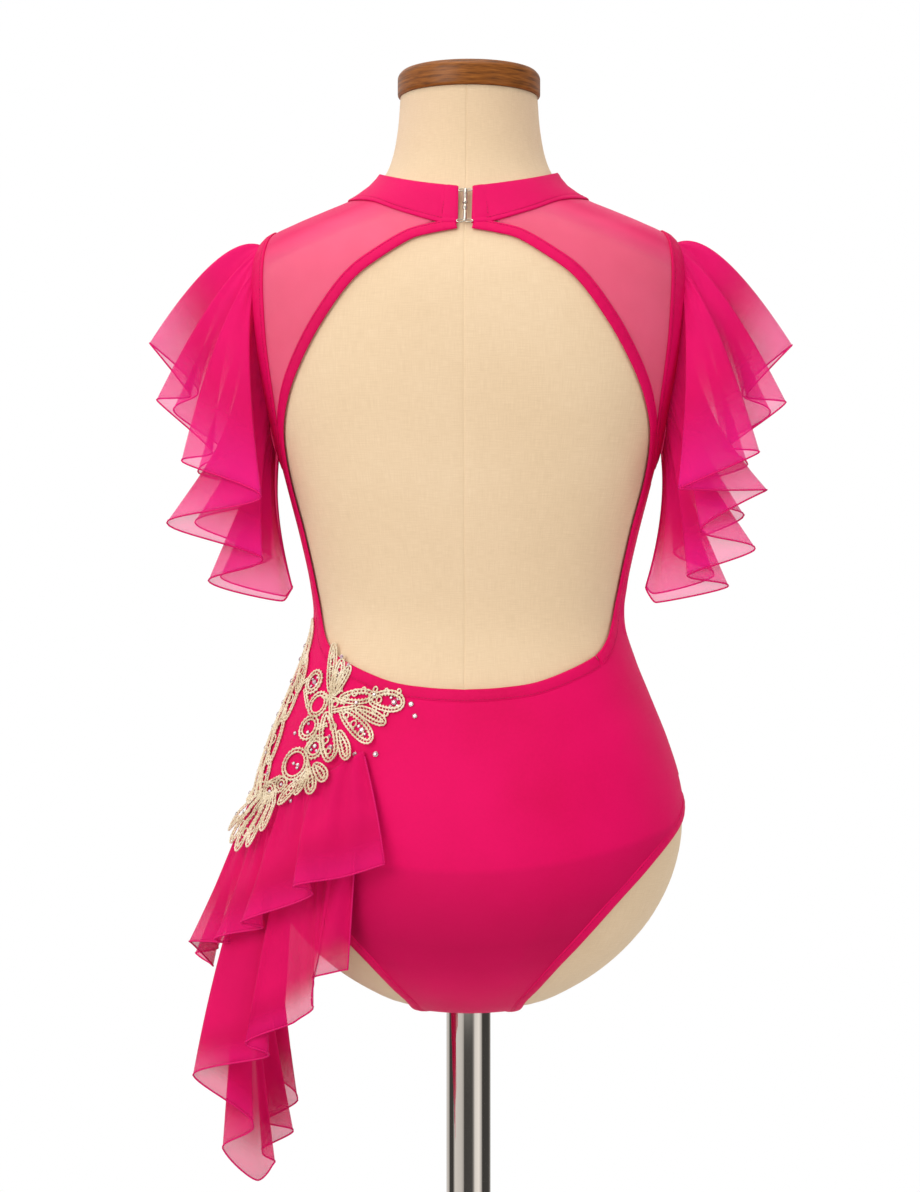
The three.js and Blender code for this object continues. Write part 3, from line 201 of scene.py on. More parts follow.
FINE_LEVELS = np.linspace(0, LAST_RING, 6201)
FINE_HEIGHTS = np.maximum.accumulate(along_rows(TORSO_RINGS, FINE_LEVELS)[:, 0])


def level_at(z):
    return np.interp(z, FINE_HEIGHTS, FINE_LEVELS)


def height_at(level):
    return np.interp(level, FINE_LEVELS, FINE_HEIGHTS)


def form_point(angle, level):
    """A point of the torso: angle 0 is the middle of the back, 90 the right side, 180 the front."""
    ring = along_rows(TORSO_RINGS, np.clip(level, 0, LAST_RING))
    z, half, back, front, middle, power = np.moveaxis(ring, -1, 0)
    s, c = np.sin(np.radians(angle)), np.cos(np.radians(angle))
    depth = np.where(c > 0, back, front)
    reach = (np.abs(s / half) ** power + np.abs(c / depth) ** power) ** (-1 / power)
    return np.stack(np.broadcast_arrays(reach * s, middle - reach * c, z), axis=-1)


def form_slopes(angle, level):
    """How the torso's surface runs round and up, for each degree and each ring."""
    low, high = np.clip(level - 0.02, 0, LAST_RING), np.clip(level + 0.02, 0, LAST_RING)
    around = (form_point(angle + 0.2, level) - form_point(angle - 0.2, level)) / 0.4
    up = (form_point(angle, high) - form_point(angle, low)) / (high - low)[..., None]
    return around, up


def unit(vectors):
    return vectors / np.maximum(np.linalg.norm(vectors, axis=-1, keepdims=True), 1e-9)


def form_normal(angle, level):
    return unit(np.cross(*form_slopes(np.asarray(angle, float), np.asarray(level, float))))


def lifted(angle, level, height):
    """A point at a height above the torso."""
    angle, level = np.asarray(angle, float), np.asarray(level, float)
    return form_point(angle, level) + form_normal(angle, level) * np.asarray(height, float)[..., None]


def piece(name, points, faces, look, uv=None):
    """A mesh from millimetre points; uv is given for each point, in millimetres on the cloth."""
    mesh = bpy.data.meshes.new(name)
    mesh.from_pydata((np.asarray(points) * 0.001).tolist(), [], faces)
    mesh.validate()
    obj = bpy.data.objects.new(name, mesh)
    bpy.context.scene.collection.objects.link(obj)
    mesh.polygons.foreach_set("use_smooth", [True] * len(mesh.polygons))
    if uv is not None:
        layer = mesh.uv_layers.new(name="cloth")
        spots = np.zeros(len(mesh.loops), np.int32)
        mesh.loops.foreach_get("vertex_index", spots)
        layer.data.foreach_set("uv", (np.asarray(uv, float)[spots] * 0.001).astype(np.float32).ravel())
    mesh.materials.append(look)
    mesh.update()
    return obj


def grid_faces(rows, columns, ring=False, start=0):
    c = np.arange(columns if ring else columns - 1)
    d = (c + 1) % columns
    faces = [np.stack([r * columns + c, r * columns + d, (r + 1) * columns + d, (r + 1) * columns + c], 1)
             for r in range(rows - 1)]
    return (np.vstack(faces) + start).tolist()


class Look(Nodes):
    """A material of one shader, with short ways to feed it."""

    def __init__(self, name, roughness, **settings):
        self.material = bpy.data.materials.new(name)
        self.material.use_nodes = True
        super().__init__(self.material.node_tree)
        self.shader = self.tree.nodes["Principled BSDF"]
        self.shader.inputs["Roughness"].default_value = roughness
        for key, value in settings.items():
            self.shader.inputs[key.replace("_", " ")].default_value = value

    def spread(self, coordinate="UV", scale=(1, 1, 1), turn=0.0):
        place = self.node("TexCoord").outputs[coordinate]
        return self.node("Mapping", {"Vector": place, "Scale": scale, "Rotation": (0, 0, turn)}).outputs[0]

    def noise(self, scale, detail=3.0, vector=None):
        vector = vector or self.spread("Object")
        inputs = {"Scale": scale, "Detail": detail, "Roughness": 0.5, "Vector": vector}
        return self.node("TexNoise", inputs).outputs["Fac"]

    def wave(self, scale, vector, direction="X", wobble=0.0):
        inputs = {"Scale": scale, "Vector": vector, "Distortion": wobble, "Detail": 1.0}
        return self.node("TexWave", inputs, bands_direction=direction).outputs["Fac"]

    def weave(self, vector, warp, weft):
        """Crossed threads; warp and weft are each a scale and a wobble."""
        crossed = (self.wave(scale, vector, way, wobble) for (scale, wobble), way in ((warp, "X"), (weft, "Y")))
        return self.maths("MULTIPLY", *crossed)

    def sum_of(self, a, share, b, other_share):
        return self.maths("ADD", self.maths("MULTIPLY", a, share), self.maths("MULTIPLY", b, other_share))

    def link(self, output, name):
        self.tree.links.new(output, self.shader.inputs[name])

    def paint(self, factor, stops):
        self.link(self.ramp(factor, stops), "Base Color")

    def bump(self, height, distance, strength=1.0):
        new = self.node("Bump", {"Height": height, "Distance": distance, "Strength": strength})
        self.link(new.outputs[0], "Normal")


linen = Look("cream_linen", 0.88, Sheen_Weight=0.25, Sheen_Roughness=0.5)
threads = linen.weave(linen.spread(), (680, 1.2), (680, 1.2))
slub_warp = linen.noise(60, 4, linen.spread(scale=(22, 1.2, 1)))
slub_weft = linen.noise(60, 4, linen.spread(scale=(1.2, 22, 1)))
slubs = linen.maths("MULTIPLY", slub_warp, slub_weft)
patches = linen.noise(9)
tone = linen.sum_of(slubs, 1.3, patches, 0.45)
linen.paint(tone, [(0.25, (0.745, 0.55, 0.345)), (0.5, (0.80, 0.60, 0.387)), (0.8, (0.855, 0.66, 0.445))])
linen.bump(linen.maths("ADD", linen.maths("MULTIPLY", threads, 0.6), slubs), 0.0006, 0.5)

TORSO_COLUMNS = 180
SEAM_SINK = 0.55
torso_levels = np.concatenate([np.linspace(0, 3, 9)[:-1], np.linspace(3, LAST_RING, 150)])
torso_angles = np.linspace(-180, 180, TORSO_COLUMNS, endpoint=False)
torso_angles = np.sort(np.concatenate([torso_angles, [-1.2, -0.6, -0.3, 0.3, 0.6, 1.2]]))
grid_a, grid_l = np.meshgrid(torso_angles, torso_levels)
sink = COVER_EASE + SEAM_SINK * np.exp(-((grid_a * 1.7) ** 2) / 0.35)
torso_points = lifted(grid_a, grid_l, -sink).reshape(-1, 3)
rows, columns = grid_a.shape
bottom, top = len(torso_points), len(torso_points) + 1
torso_ends = [[0, 0, TORSO_RINGS[0, 0] + COVER_EASE], [0, NECK_Y, TORSO_RINGS[-1, 0]]]
torso_points = np.vstack([torso_points, torso_ends])
torso_faces = grid_faces(rows, columns, ring=True)
torso_faces += [[bottom, (c + 1) % columns, c] for c in range(columns)]
torso_faces += [[top, (rows - 1) * columns + c, (rows - 1) * columns + (c + 1) % columns] for c in range(columns)]
torso_uv = np.vstack([np.stack([grid_a * 2.5, height_at(grid_l)], -1).reshape(-1, 2), [[0, 780], [0, 1515]]])
dress_form = piece("linen_torso", torso_points, torso_faces, linen.material, torso_uv)
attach(dress_form, "root")
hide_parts("form_torso")

# ---- Neck cap, pole and base ----
# A turned and stained wooden cap closes the neck. The chromed tube goes up into the torso
# and stands in the hub of a heavy round base.
def turned(name, profile, look, y=0.0, sides=96):
    """A body of revolution from rows of radius and height, about an upright line."""
    profile = np.array(profile, float)
    spin = np.linspace(0, math.tau, sides, endpoint=False)
    ring = np.stack([np.cos(spin), np.sin(spin)], -1)
    inner = profile[1:-1]
    points = [np.append([0, y], profile[0][1])]
    for radius, z in inner:
        points += [[x * radius, y + v * radius, z] for x, v in ring]
    points.append(np.append([0, y], profile[-1][1]))
    faces = grid_faces(len(inner), sides, ring=True, start=1)
    last = len(points) - 1
    faces += [[0, 1 + (c + 1) % sides, 1 + c] for c in range(sides)]
    start = 1 + (len(inner) - 1) * sides
    faces += [[last, start + c, start + (c + 1) % sides] for c in range(sides)]
    return piece(name, points, faces, look)


def rounded(corners, radius=1.2, steps=4):
    """A profile whose corners are turned by small rounds."""
    rows = [corners[0]]
    for before, here, after in zip(corners, corners[1:], corners[2:]):
        before, here, after = (np.array(p, float) for p in (before, here, after))
        a = here + (before - here) / np.linalg.norm(before - here) * min(radius, np.linalg.norm(before - here) / 2)
        b = here + (after - here) / np.linalg.norm(after - here) * min(radius, np.linalg.norm(after - here) / 2)
        for k in range(steps + 1):
            t = k / steps
            rows.append((1 - t) ** 2 * a + 2 * t * (1 - t) * here + t * t * b)
    rows.append(corners[-1])
    return rows


wood = Look("stained_wood", 0.42, Coat_Weight=0.08, Coat_Roughness=0.25, Specular_IOR_Level=0.2)
rings_of_growth = wood.wave(30, wood.spread("Object", (0.35, 0.35, 2.2)), "Z", 7.0)
pores = wood.noise(420, 3, wood.spread("Object", (0.2, 0.2, 2.2)))
grain = wood.sum_of(rings_of_growth, 0.17, pores, 0.85)
wood.paint(grain, [(0.25, (0.09, 0.027, 0.003)), (0.52, (0.225, 0.068, 0.008)), (0.8, (0.32, 0.108, 0.015))])
wood.bump(pores, 0.0003, 0.35)
cap_profile = rounded([(0, 1510.4), (57.3, 1510.4), (57.3, 1526.5), (53.5, 1530.9), (0, 1530.9)], 2.2)
neck_cap = turned("wooden_neck_cap", cap_profile, wood.material, y=NECK_Y)
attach(neck_cap, "root")
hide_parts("neck_cap")

chrome = Look("chrome_plate", 0.07, Metallic=1.0)
smears = chrome.noise(35, 3, chrome.spread("Object", (1, 1, 0.15)))
chrome.paint(smears, [(0.3, (0.80, 0.735, 0.67)), (0.7, (0.90, 0.835, 0.765))])
chrome.link(chrome.maths("ADD", chrome.maths("MULTIPLY", smears, 0.08), 0.03), "Roughness")
pole_low, pole_high = (corner[2] * 1000 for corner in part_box("pole"))
pole = turned("chromed_pole", rounded([(0, pole_low), (17.6, pole_low), (17.6, pole_high), (0, pole_high)], 0.6),
              chrome.material)
base_profile = [(0, 0), (151, 0), (152, 1), (152, 6.5), (149.5, 9), (39, 10.5), (31, 13), (24, 34), (0, 34)]
base = turned("chromed_base", rounded(base_profile, 1.6), chrome.material, sides=144)
for obj, node in ((pole, "pole"), (base, "base")):
    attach(obj, "root")
    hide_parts(node)

# ---- Back and front panels of the bodysuit ----
# Opaque four-way stretch knit with a satin face, cut tight. The back is a deep U whose side
# strips reach the armholes; the front goes up to the collar; they meet at the sides and crotch.
BACK_OPENING = [  # right half, from under the collar down to the low back: angle, z
    (3.9, 1391.5), (17, 1387.8), (27, 1382.6), (38, 1367.2), (45.2, 1351.5), (52.8, 1321.6), (59.6, 1291.8),
    (66.8, 1262.0), (73.4, 1232.0), (76.4, 1201.0), (76.2, 1165.0), (76.6, 1130.0), (75.5, 1107.0), (72.8, 1090.0),
    (66.5, 1073.5), (57.0, 1060.2), (36, 1044.6), (18, 1039.5), (0, 1038),
]
LEG_CURVE = [  # angle, z, from the crotch strap round the back and over the hip to the front
    (40.2, 797), (39.6, 812), (42.5, 831), (47.2, 847), (51.5, 862), (56.2, 877), (61.4, 891.5), (66.8, 906),
    (73.5, 920.5), (81.5, 933.5), (90, 945), (99, 944), (108, 934), (117, 917), (125, 898), (132, 876),
    (139, 852), (144, 830), (147, 812), (146, 797),
]
COLLAR_FOOT = [(0, 1395.6), (14, 1396.6), (35, 1406.2), (55, 1417.2), (75, 1421.5), (90, 1423.5), (110, 1419),
               (140, 1402), (160, 1392), (180, 1388)]
ARMHOLE = {"y": 5.5, "z": 1307.5, "half_width": 34.5, "half_height": 83.5, "power": 2.5}
BINDING_WIDTH = 9.6
LEG_BINDING_WIDTH = 8.0
ACROSS_PER_DEGREE = 2.6
KNIT = (0.9, 2.1)  # heights of its two faces above the torso
YOKE_FOOT = 1233.0
NOTCH = 20.0  # the crotch seam is open round the pole
STRAP_ROWS = 14  # rows of the back's crotch strap
STRAP_BEHIND = -26.0  # y of its middle line next to the seam
STRAP_TOP = 806.0
SEAT_BOTTOM = 812.0
UNDER_COLLAR = 3.0  # how far the cloth goes on beneath the collar's foot
HALF_STRIP = 4.6  # the panels end under the middle of their bindings
HALF_LEG_STRIP = 3.8
SHOULDER = (1330.0, 60.0)  # the armhole turns over the shoulder from this height, within this much


def direction(points, closed=False):
    """The direction of a line at each of its points."""
    if closed:
        return unit(np.roll(points, -1, 0) - np.roll(points, 1, 0))
    return unit(np.gradient(points, axis=0))


def length_along(points):
    return np.concatenate([[0], np.cumsum(np.linalg.norm(np.diff(points, axis=0), axis=1))])


def travel_of(curve):
    """The length run along the torso at each point of a curve of angle and level."""
    return length_along(form_point(*np.asarray(curve).T))


def resampled(curve, count):
    """A curve of angle and level cut into that many even lengths."""
    curve = np.asarray(curve, float)
    travel = travel_of(curve)
    at = np.linspace(0, travel[-1], count + 1)
    return np.stack([np.interp(at, travel, curve[:, k]) for k in range(2)], 1)


def curve_on_form(rows, step, from_heights=True):
    """A smooth curve through a table's rows, cut into steps of about that length."""
    fine = along_rows(rows, np.linspace(0, len(rows) - 1, 16 * (len(rows) - 1) + 1))
    if from_heights:
        fine[:, 1] = level_at(fine[:, 1])
    return resampled(fine, max(2, round(travel_of(fine)[-1] / step)))


def moved_aside(curve, width, towards=1, closed=False):
    """A curve on the torso moved sideways along its surface."""
    curve = np.array(curve, float)
    for _ in range(3):
        along = direction(form_point(*curve.T), closed)
        move = np.cross(form_normal(*curve.T), along) * (towards * np.broadcast_to(width, len(curve))[:, None] / 3)
        around, up = form_slopes(*curve.T)
        aa, au, uu = (around * around).sum(1), (around * up).sum(1), (up * up).sum(1)
        ma, mu = (move * around).sum(1), (move * up).sum(1)
        det = aa * uu - au * au
        curve = curve + np.stack([(ma * uu - mu * au) / det, (mu * aa - ma * au) / det], 1)
    return curve


def mirrored(curve):
    return np.asarray(curve) * [-1, 1]


def side_point(y, z):
    """The angle and level on the torso's right side at this y and z."""
    level = level_at(z)
    _, half, back, front, middle, power = np.moveaxis(along_rows(TORSO_RINGS, level), -1, 0)
    depth = np.where(y < middle, back, front)
    x = half * np.maximum(0, 1 - np.minimum(1, np.abs((y - middle) / depth) ** power)) ** (1 / power)
    return np.stack([np.degrees(np.arctan2(x, middle - y)), level], -1)


def armhole_curve(count):
    """From the shoulder round the back, under the arm and up the front."""
    turn = np.radians(90 + 360 * np.arange(count) / count)
    share = 2 / ARMHOLE["power"]
    y = ARMHOLE["y"] + ARMHOLE["half_width"] * np.sign(np.cos(turn)) * np.abs(np.cos(turn)) ** share
    z = ARMHOLE["z"] + ARMHOLE["half_height"] * np.sign(np.sin(turn)) * np.abs(np.sin(turn)) ** share
    return side_point(y, z)


UNDERSIDE = 7.0  # the rings up to this one turn under


def plan_point(x, y):
    """The angle and level under a point of the plan, on the torso's underside."""
    x, y = np.broadcast_arrays(np.asarray(x, float), np.asarray(y, float))
    angle = np.degrees(np.arctan2(x, -y))
    low, high = np.zeros(x.shape), np.full(x.shape, UNDERSIDE)
    for _ in range(36):
        middle = (low + high) / 2
        here = form_point(angle, middle)
        short = np.hypot(here[..., 0], here[..., 1]) < np.hypot(x, y)
        low, high = np.where(short, middle, low), np.where(short, high, middle)
    return np.stack([angle, (low + high) / 2], -1)


def height_on(rows, angle):
    """The height of an edge table at an angle, the same on both sides."""
    rows = np.array(rows, float)
    fine = along_rows(rows, np.linspace(0, len(rows) - 1, 400))
    around = np.abs((np.asarray(angle, float) + 180) % 360 - 180)
    return np.interp(around, fine[:, 0], fine[:, 1])


def crossing(curve, z, start=0):
    """A curve's index and point where it passes height z."""
    heights = height_at(curve[:, 1])
    for i in range(start, len(curve) - 1):
        if (heights[i] - z) * (heights[i + 1] - z) <= 0:
            t = (z - heights[i]) / (heights[i + 1] - heights[i] or 1)
            return i, curve[i] + (curve[i + 1] - curve[i]) * t
    raise ValueError(f"no crossing at {z}")


ARM_STEPS = 96
opening_edge = curve_on_form(BACK_OPENING, 4)
opening_middle = moved_aside(opening_edge, HALF_STRIP)
arm_edge = armhole_curve(ARM_STEPS)
arm_middle = moved_aside(arm_edge, HALF_STRIP, -1, closed=True)
under_pole = [plan_point(36, 0.001), *(plan_point(x, y) for x, y in [(36.5, -14), (39, -28), (43, -42)])]
in_front = [plan_point(x, y) for x, y in [(34.5, 39), (34.5, 26), (35, 13)]]
leg_rows = [*under_pole, *curve_on_form(LEG_CURVE, 23), *in_front, under_pole[0]]
leg_edge = curve_on_form(leg_rows, 4, from_heights=False)[:-1]
leg_middle = moved_aside(leg_edge, HALF_LEG_STRIP, closed=True)
hip = next(i for i in range(30, len(leg_middle)) if leg_middle[i][0] > 89)
strap_top = next(i for i in range(6, hip) if height_at(leg_middle[i][1]) > STRAP_TOP)
side_seam = np.stack([np.linspace(leg_middle[hip][k], arm_middle[ARM_STEPS // 2][k], 31) for k in range(2)], 1)
neck_point = 90, level_at(height_on(COLLAR_FOOT, 90) + UNDER_COLLAR)
shoulder_seam = np.stack([np.linspace(neck_point[k], arm_middle[0][k], 21) for k in range(2)], 1)

# Tension lines in the tight knit: from angle, z to angle, z, width, height.
TENSION_LINES = [
    (12, 868, 58, 888, 11, 0.55), (-8, 880, -46, 868, 13, 0.5), (40, 905, 74, 930, 9, 0.5),
    (30, 1010, 72, 1046, 9, 0.45), (-34, 1004, -70, 1030, 10, 0.4), (60, 1000, 96, 1030, 8, 0.5),
    (82, 1090, 112, 1104, 8, 0.6), (-84, 1082, -110, 1100, 8, 0.55), (84, 1118, 104, 1110, 7, 0.45),
    (24, 838, 34, 872, 7, 0.5), (-22, 842, -33, 880, 7, 0.45), (150, 842, 136, 886, 8, 0.55),
    (208, 838, 222, 884, 8, 0.5), (128, 930, 150, 958, 9, 0.45), (236, 936, 212, 962, 9, 0.4),
    (112, 1236, 134, 1262, 9, 0.6), (248, 1240, 226, 1268, 9, 0.55), (104, 1214, 122, 1222, 8, 0.5),
    (256, 1212, 240, 1226, 8, 0.45), (150, 1090, 206, 1084, 10, 0.45), (146, 1386, 172, 1372, 7, 0.4),
]


def tension(angle, z):
    """How far the tension lines lift the knit."""
    rise = np.zeros(np.broadcast(angle, z).shape)
    for a0, z0, a1, z1, width, height in TENSION_LINES:
        for turn in (-360, 0, 360):
            ax, bx = (a0 + turn) * ACROSS_PER_DEGREE, (a1 + turn) * ACROSS_PER_DEGREE
            px, pz = angle * ACROSS_PER_DEGREE - ax, z - z0
            dx, dz = bx - ax, z1 - z0
            t = np.clip((px * dx + pz * dz) / (dx * dx + dz * dz), 0, 1)
            gap = np.hypot(px - t * dx, pz - t * dz)
            rise += height * np.exp(-((gap / (width * (0.55 + 0.45 * np.sin(np.pi * (0.1 + 0.8 * t))))) ** 2))
    return rise


def cloth_spread(places):
    """Cloth measurements of points of angle and level, for the weave."""
    return np.stack([places[:, 0] * ACROSS_PER_DEGREE, height_at(places[:, 1])], 1)


def wall_of(name, outer, inner, faces, look, uv):
    """A closed cloth: outer and inner skins of the same faces, joined round every free edge."""
    count = len(outer)
    edges = {(f[i], f[(i + 1) % len(f)]) for f in faces for i in range(len(f))}
    rim = [(b, a, count + a, count + b) for a, b in edges if (b, a) not in edges]
    inside = [tuple(count + i for i in reversed(f)) for f in faces]
    every = [*map(tuple, faces), *inside, *sorted(rim)]
    return piece(name, np.vstack([outer, inner]), every, look, np.vstack([uv, uv]))


def sewn_panel(name, places, faces, look, low, high):
    """A cloth drawn tight on the torso, between two heights above it."""
    rise = tension(places[:, 0], height_at(places[:, 1]))
    outer, inner = (lifted(*places.T, height + rise) for height in (high, low))
    return wall_of(name, outer, inner, faces, look, cloth_spread(places))


def strap_row(edge, middle_y, columns, in_front):
    """One row across the crotch strap; the row at the seam goes round the pole."""
    tip = form_point(*edge)
    sign = 1 if in_front else -1
    q = sign * np.linspace(1, -1, columns)
    x = q * tip[0]
    y = middle_y + (tip[1] - middle_y) * q * q
    if middle_y == 0:
        y = sign * np.maximum(0.2, np.sqrt(np.maximum(0, NOTCH**2 - x * x)))
    places = plan_point(x, y)
    if in_front:
        places[:, 0] = np.where(places[:, 0] < 0, places[:, 0] + 360, places[:, 0])
    return places


def smooth_step(t):
    t = np.clip(t, 0, 1)
    return t * t * (3 - 2 * t)


def level_share(points):
    """0 down the side of the armhole, 1 over the shoulder, where the rows lie level."""
    return smooth_step((height_at(points[..., 1]) - SHOULDER[0]) / SHOULDER[1])


# How much of the darker tone shows, up from 0.80 m (0) to 0.93 m (1): painted shade where the seat
# turns under, over the knit's lining. The lining's top edge is at 0.78, and it dips towards the sides.
LINED_SHADE_SHARES = [
    (0.0, 0.1), (0.1, 0.3), (0.2, 0.54), (0.33, 0.68), (0.5, 0.56), (0.76, 0.29), (0.8, 0.05), (0.92, 0.0),
]
LINED_SHADE_FROM, LINED_SHADE_TO, LINED_SHADE_DIP = 0.80, 0.93, 1.15


def satin_knit(name, dark, middle, light, lined_and_shaded=None):
    """Fine satin-faced knit, mottled from dark to light."""
    look = Look(name, 0.5, Sheen_Weight=0.03, Sheen_Roughness=0.35, Sheen_Tint=(1.0, 0.2, 0.45, 1),
                Specular_IOR_Level=0.1)
    loops = look.weave(look.spread(), (900, 0.4), (760, 0.6))
    heather = look.noise(420, 2)
    cloudy = look.noise(11)
    colour = look.ramp(look.sum_of(cloudy, 0.8, heather, 0.2), [(0.3, dark), (0.5, middle), (0.72, light)])
    # Painted shade: the lower seat is mixed towards a darker tone, over its lining.
    if lined_and_shaded:
        spot = look.node("SeparateXYZ", {0: look.spread("Object")}).outputs
        dip = look.maths("MULTIPLY", look.maths("MULTIPLY", spot["X"], spot["X"]), LINED_SHADE_DIP)
        straightened = look.maths("SUBTRACT", spot["Z"], dip)
        height = look.node("MapRange", {0: straightened, 1: LINED_SHADE_FROM, 2: LINED_SHADE_TO}).outputs[0]
        both = look.ramp(height, [(at, (share,) * 3) for at, share in LINED_SHADE_SHARES])
        colour = look.node("MixRGB", {0: both, 1: colour, 2: (*lined_and_shaded, 1)}).outputs[0]
    look.link(colour, "Base Color")
    look.bump(look.maths("ADD", loops, look.maths("MULTIPLY", heather, 0.5)), 0.00022, 0.5)
    return look.material


knit = satin_knit("satin_stretch_knit", (0.68, 0.0006, 0.09), (0.74, 0.0009, 0.109), (0.79, 0.0015, 0.122),
                  lined_and_shaded=(0.38, 0.0005, 0.052))  # lined with a second layer from the low seat to the crotch, and painted darker there as shade

CENTRE, ACROSS = 20, 30
foot_index, foot = crossing(opening_middle, YOKE_FOOT, 20)
inside = resampled(np.vstack([opening_middle[foot_index + 1:][::-1], foot]), 115)
arm_foot_index, arm_foot = crossing(arm_middle[: ARM_STEPS // 2 + 1], YOKE_FOOT, 12)
arm_up = np.vstack([arm_middle[arm_foot_index + 1: ARM_STEPS // 2 + 1][::-1], arm_foot])
leg_start = leg_middle[strap_top]
share = np.arange(CENTRE) / CENTRE
seat_bottom = float(level_at(SEAT_BOTTOM))
centre = np.stack([share * leg_start[0], seat_bottom + (leg_start[1] - seat_bottom) * share**2], 1)
outside = np.vstack([centre, resampled(leg_middle[strap_top: hip + 1], 50), resampled(side_seam, 30)[1:],
                     resampled(arm_up, 15)[1:]])
inside = resampled(inside, len(outside) - 1)
blend = np.linspace(0, 1, ACROSS)[:, None, None]
right = outside[None] * (1 - blend) + inside[None] * blend
main = np.concatenate([(right * [-1, 1])[:, :0:-1], right], axis=1)
width = main.shape[1]
strap_columns = 2 * CENTRE + 1
depth = form_point(0, seat_bottom)[1]
strap_edges = resampled(leg_middle[: strap_top + 1], STRAP_ROWS)[:-1]
strap = []
for r, edge in enumerate(strap_edges):
    middle_y = STRAP_BEHIND + (depth - STRAP_BEHIND) * (r / STRAP_ROWS) ** 1.1 if r else 0
    strap.append(strap_row(edge, middle_y, strap_columns, False))
back_places = np.vstack([main.reshape(-1, 2), *strap])
back_faces = grid_faces(ACROSS, width) + grid_faces(len(strap), strap_columns, start=ACROSS * width)
join = ACROSS * width + (len(strap) - 1) * strap_columns
first_top = (width - 1) // 2 - CENTRE
back_faces += [[join + c, join + c + 1, first_top + c + 1, first_top + c] for c in range(strap_columns - 1)]
back_panel = sewn_panel("back_panel_knit", back_places, back_faces, knit, *KNIT)

FRONT_COLUMNS = 61
leg_front = np.vstack([leg_middle[hip:], leg_middle[:1]])[::-1]
arm_front = np.vstack([arm_middle[ARM_STEPS // 2:], arm_middle[:1]])
front_edges = np.vstack([resampled(leg_front, 56), resampled(side_seam, 24)[1:], resampled(arm_front, 48)[1:],
                         resampled(shoulder_seam[::-1], 20)[1:]])
front_rows = []
for r, edge in enumerate(front_edges):
    at = r / 4
    if at < 5:
        front_rows.append(strap_row(edge, 0 if r == 0 else 24 + 8.5 * at, FRONT_COLUMNS, True))
        continue
    middle_z = np.interp(at, [5, 14, 20, 32, 37], [STRAP_TOP, 985, 1225, 1362, 1391])
    even = np.linspace(1, -1, FRONT_COLUMNS)
    q = np.sin(even * 1.3) / math.sin(1.3)
    angle = 180 - q * (180 - edge[0])
    over = level_share(edge)
    rise = q * q * (1 - over) + smooth_step(np.abs(q)) * over
    level = level_at(middle_z) * (1 - rise) + edge[1] * rise
    if r == len(front_edges) - 1:
        level = level_at(height_on(COLLAR_FOOT, angle) + UNDER_COLLAR)
    front_rows.append(np.stack([angle, level], 1))
front_places = np.vstack(front_rows)
front_faces = grid_faces(len(front_rows), FRONT_COLUMNS)
front_panel = sewn_panel("front_panel_knit", front_places, front_faces, knit, *KNIT)
PANEL_SHEETS = [(back_panel, "back_panel", (0.46, 0.56), 0.090), (front_panel, "front_panel", (0.50, 0.62), 0.19)]
for obj, node, flat, area in PANEL_SHEETS:
    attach(obj, "root")
    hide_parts(node)

# ---- Sheer yokes ----
# The upper back is a fine stretch mesh in the same pink, one layer, so the torso shows through.
# It is caught under the collar, the shoulder seam and the two bindings.
sheer = Look("sheer_power_mesh", 0.6, Sheen_Weight=0.3, Sheen_Roughness=0.4, Sheen_Tint=(1.0, 0.5, 0.65, 1),
             Specular_IOR_Level=0.25)
holes = sheer.weave(sheer.spread(turn=0.785), (420, 0.0), (420, 0.0))
veil = sheer.noise(14)
open_mesh = sheer.ramp(veil, [(0.3, (0.90, 0.10, 0.235)), (0.7, (0.95, 0.13, 0.275))])
between_holes = sheer.maths("SUBTRACT", 0.55, sheer.maths("MULTIPLY", holes, 0.22))
see_through = sheer.maths("ADD", sheer.maths("MULTIPLY", veil, 0.14), between_holes)
where = sheer.node("SeparateXYZ", {0: sheer.spread("Object")}).outputs
# The shoulder seam's allowance shows through as a denser band, which slopes down to the arm; painted shade darkens it
# too.
slope = sheer.maths("MULTIPLY", sheer.maths("ABSOLUTE", where["X"], 0.0), 0.4)
below_shoulder = sheer.maths("ADD", where["Z"], slope)
allowance_and_shade = sheer.node("MapRange", {0: below_shoulder, 1: 1.430, 2: 1.449, 3: 0.0, 4: 1.0}).outputs[0]
# Painted shade: the band's colour is mixed towards a deep pink where the yoke turns over the shoulder.
shaded_allowance = {0: allowance_and_shade, 1: open_mesh, 2: (0.66, 0.002, 0.10, 1)}
sheer.link(sheer.node("MixRGB", shaded_allowance).outputs[0], "Base Color")
sheer.link(sheer.maths("ADD", see_through, sheer.maths("MULTIPLY", allowance_and_shade, 0.6)), "Alpha")
sheer.bump(holes, 0.0002, 0.4)

yoke_top = next(i for i in range(len(opening_middle)) if opening_middle[i][0] > 15)
foot_at, yoke_foot = crossing(opening_middle, YOKE_FOOT + 0.5, 20)
arm_at, arm_low = crossing(arm_middle[: ARM_STEPS // 2 + 1], YOKE_FOOT + 0.5, 12)
yoke_inner = resampled(np.vstack([opening_middle[yoke_top: foot_at + 1], yoke_foot]), 85)
yoke_outer = np.vstack([shoulder_seam[:-1], resampled(np.vstack([arm_middle[: arm_at + 1], arm_low]), 65)])
YOKE_COLUMNS = 30
t = np.linspace(0, 1, YOKE_COLUMNS)
over = level_share(yoke_outer)[:, None]
rise = t * (1 - over) + (1 - (1 - t) ** 2) * over
yoke_angles = yoke_inner[:, :1] * (1 - t) + yoke_outer[:, :1] * t
yoke_levels = yoke_inner[:, 1:] * (1 - rise) + yoke_outer[:, 1:] * rise
settle = np.clip(np.arange(len(yoke_inner)) / 12, 0, 1)[:, None]
top_levels = level_at(height_on(COLLAR_FOOT, yoke_angles[0]) + UNDER_COLLAR)[None]
yoke_levels = yoke_levels + (top_levels - yoke_levels[0]) * (1 - settle) ** 2
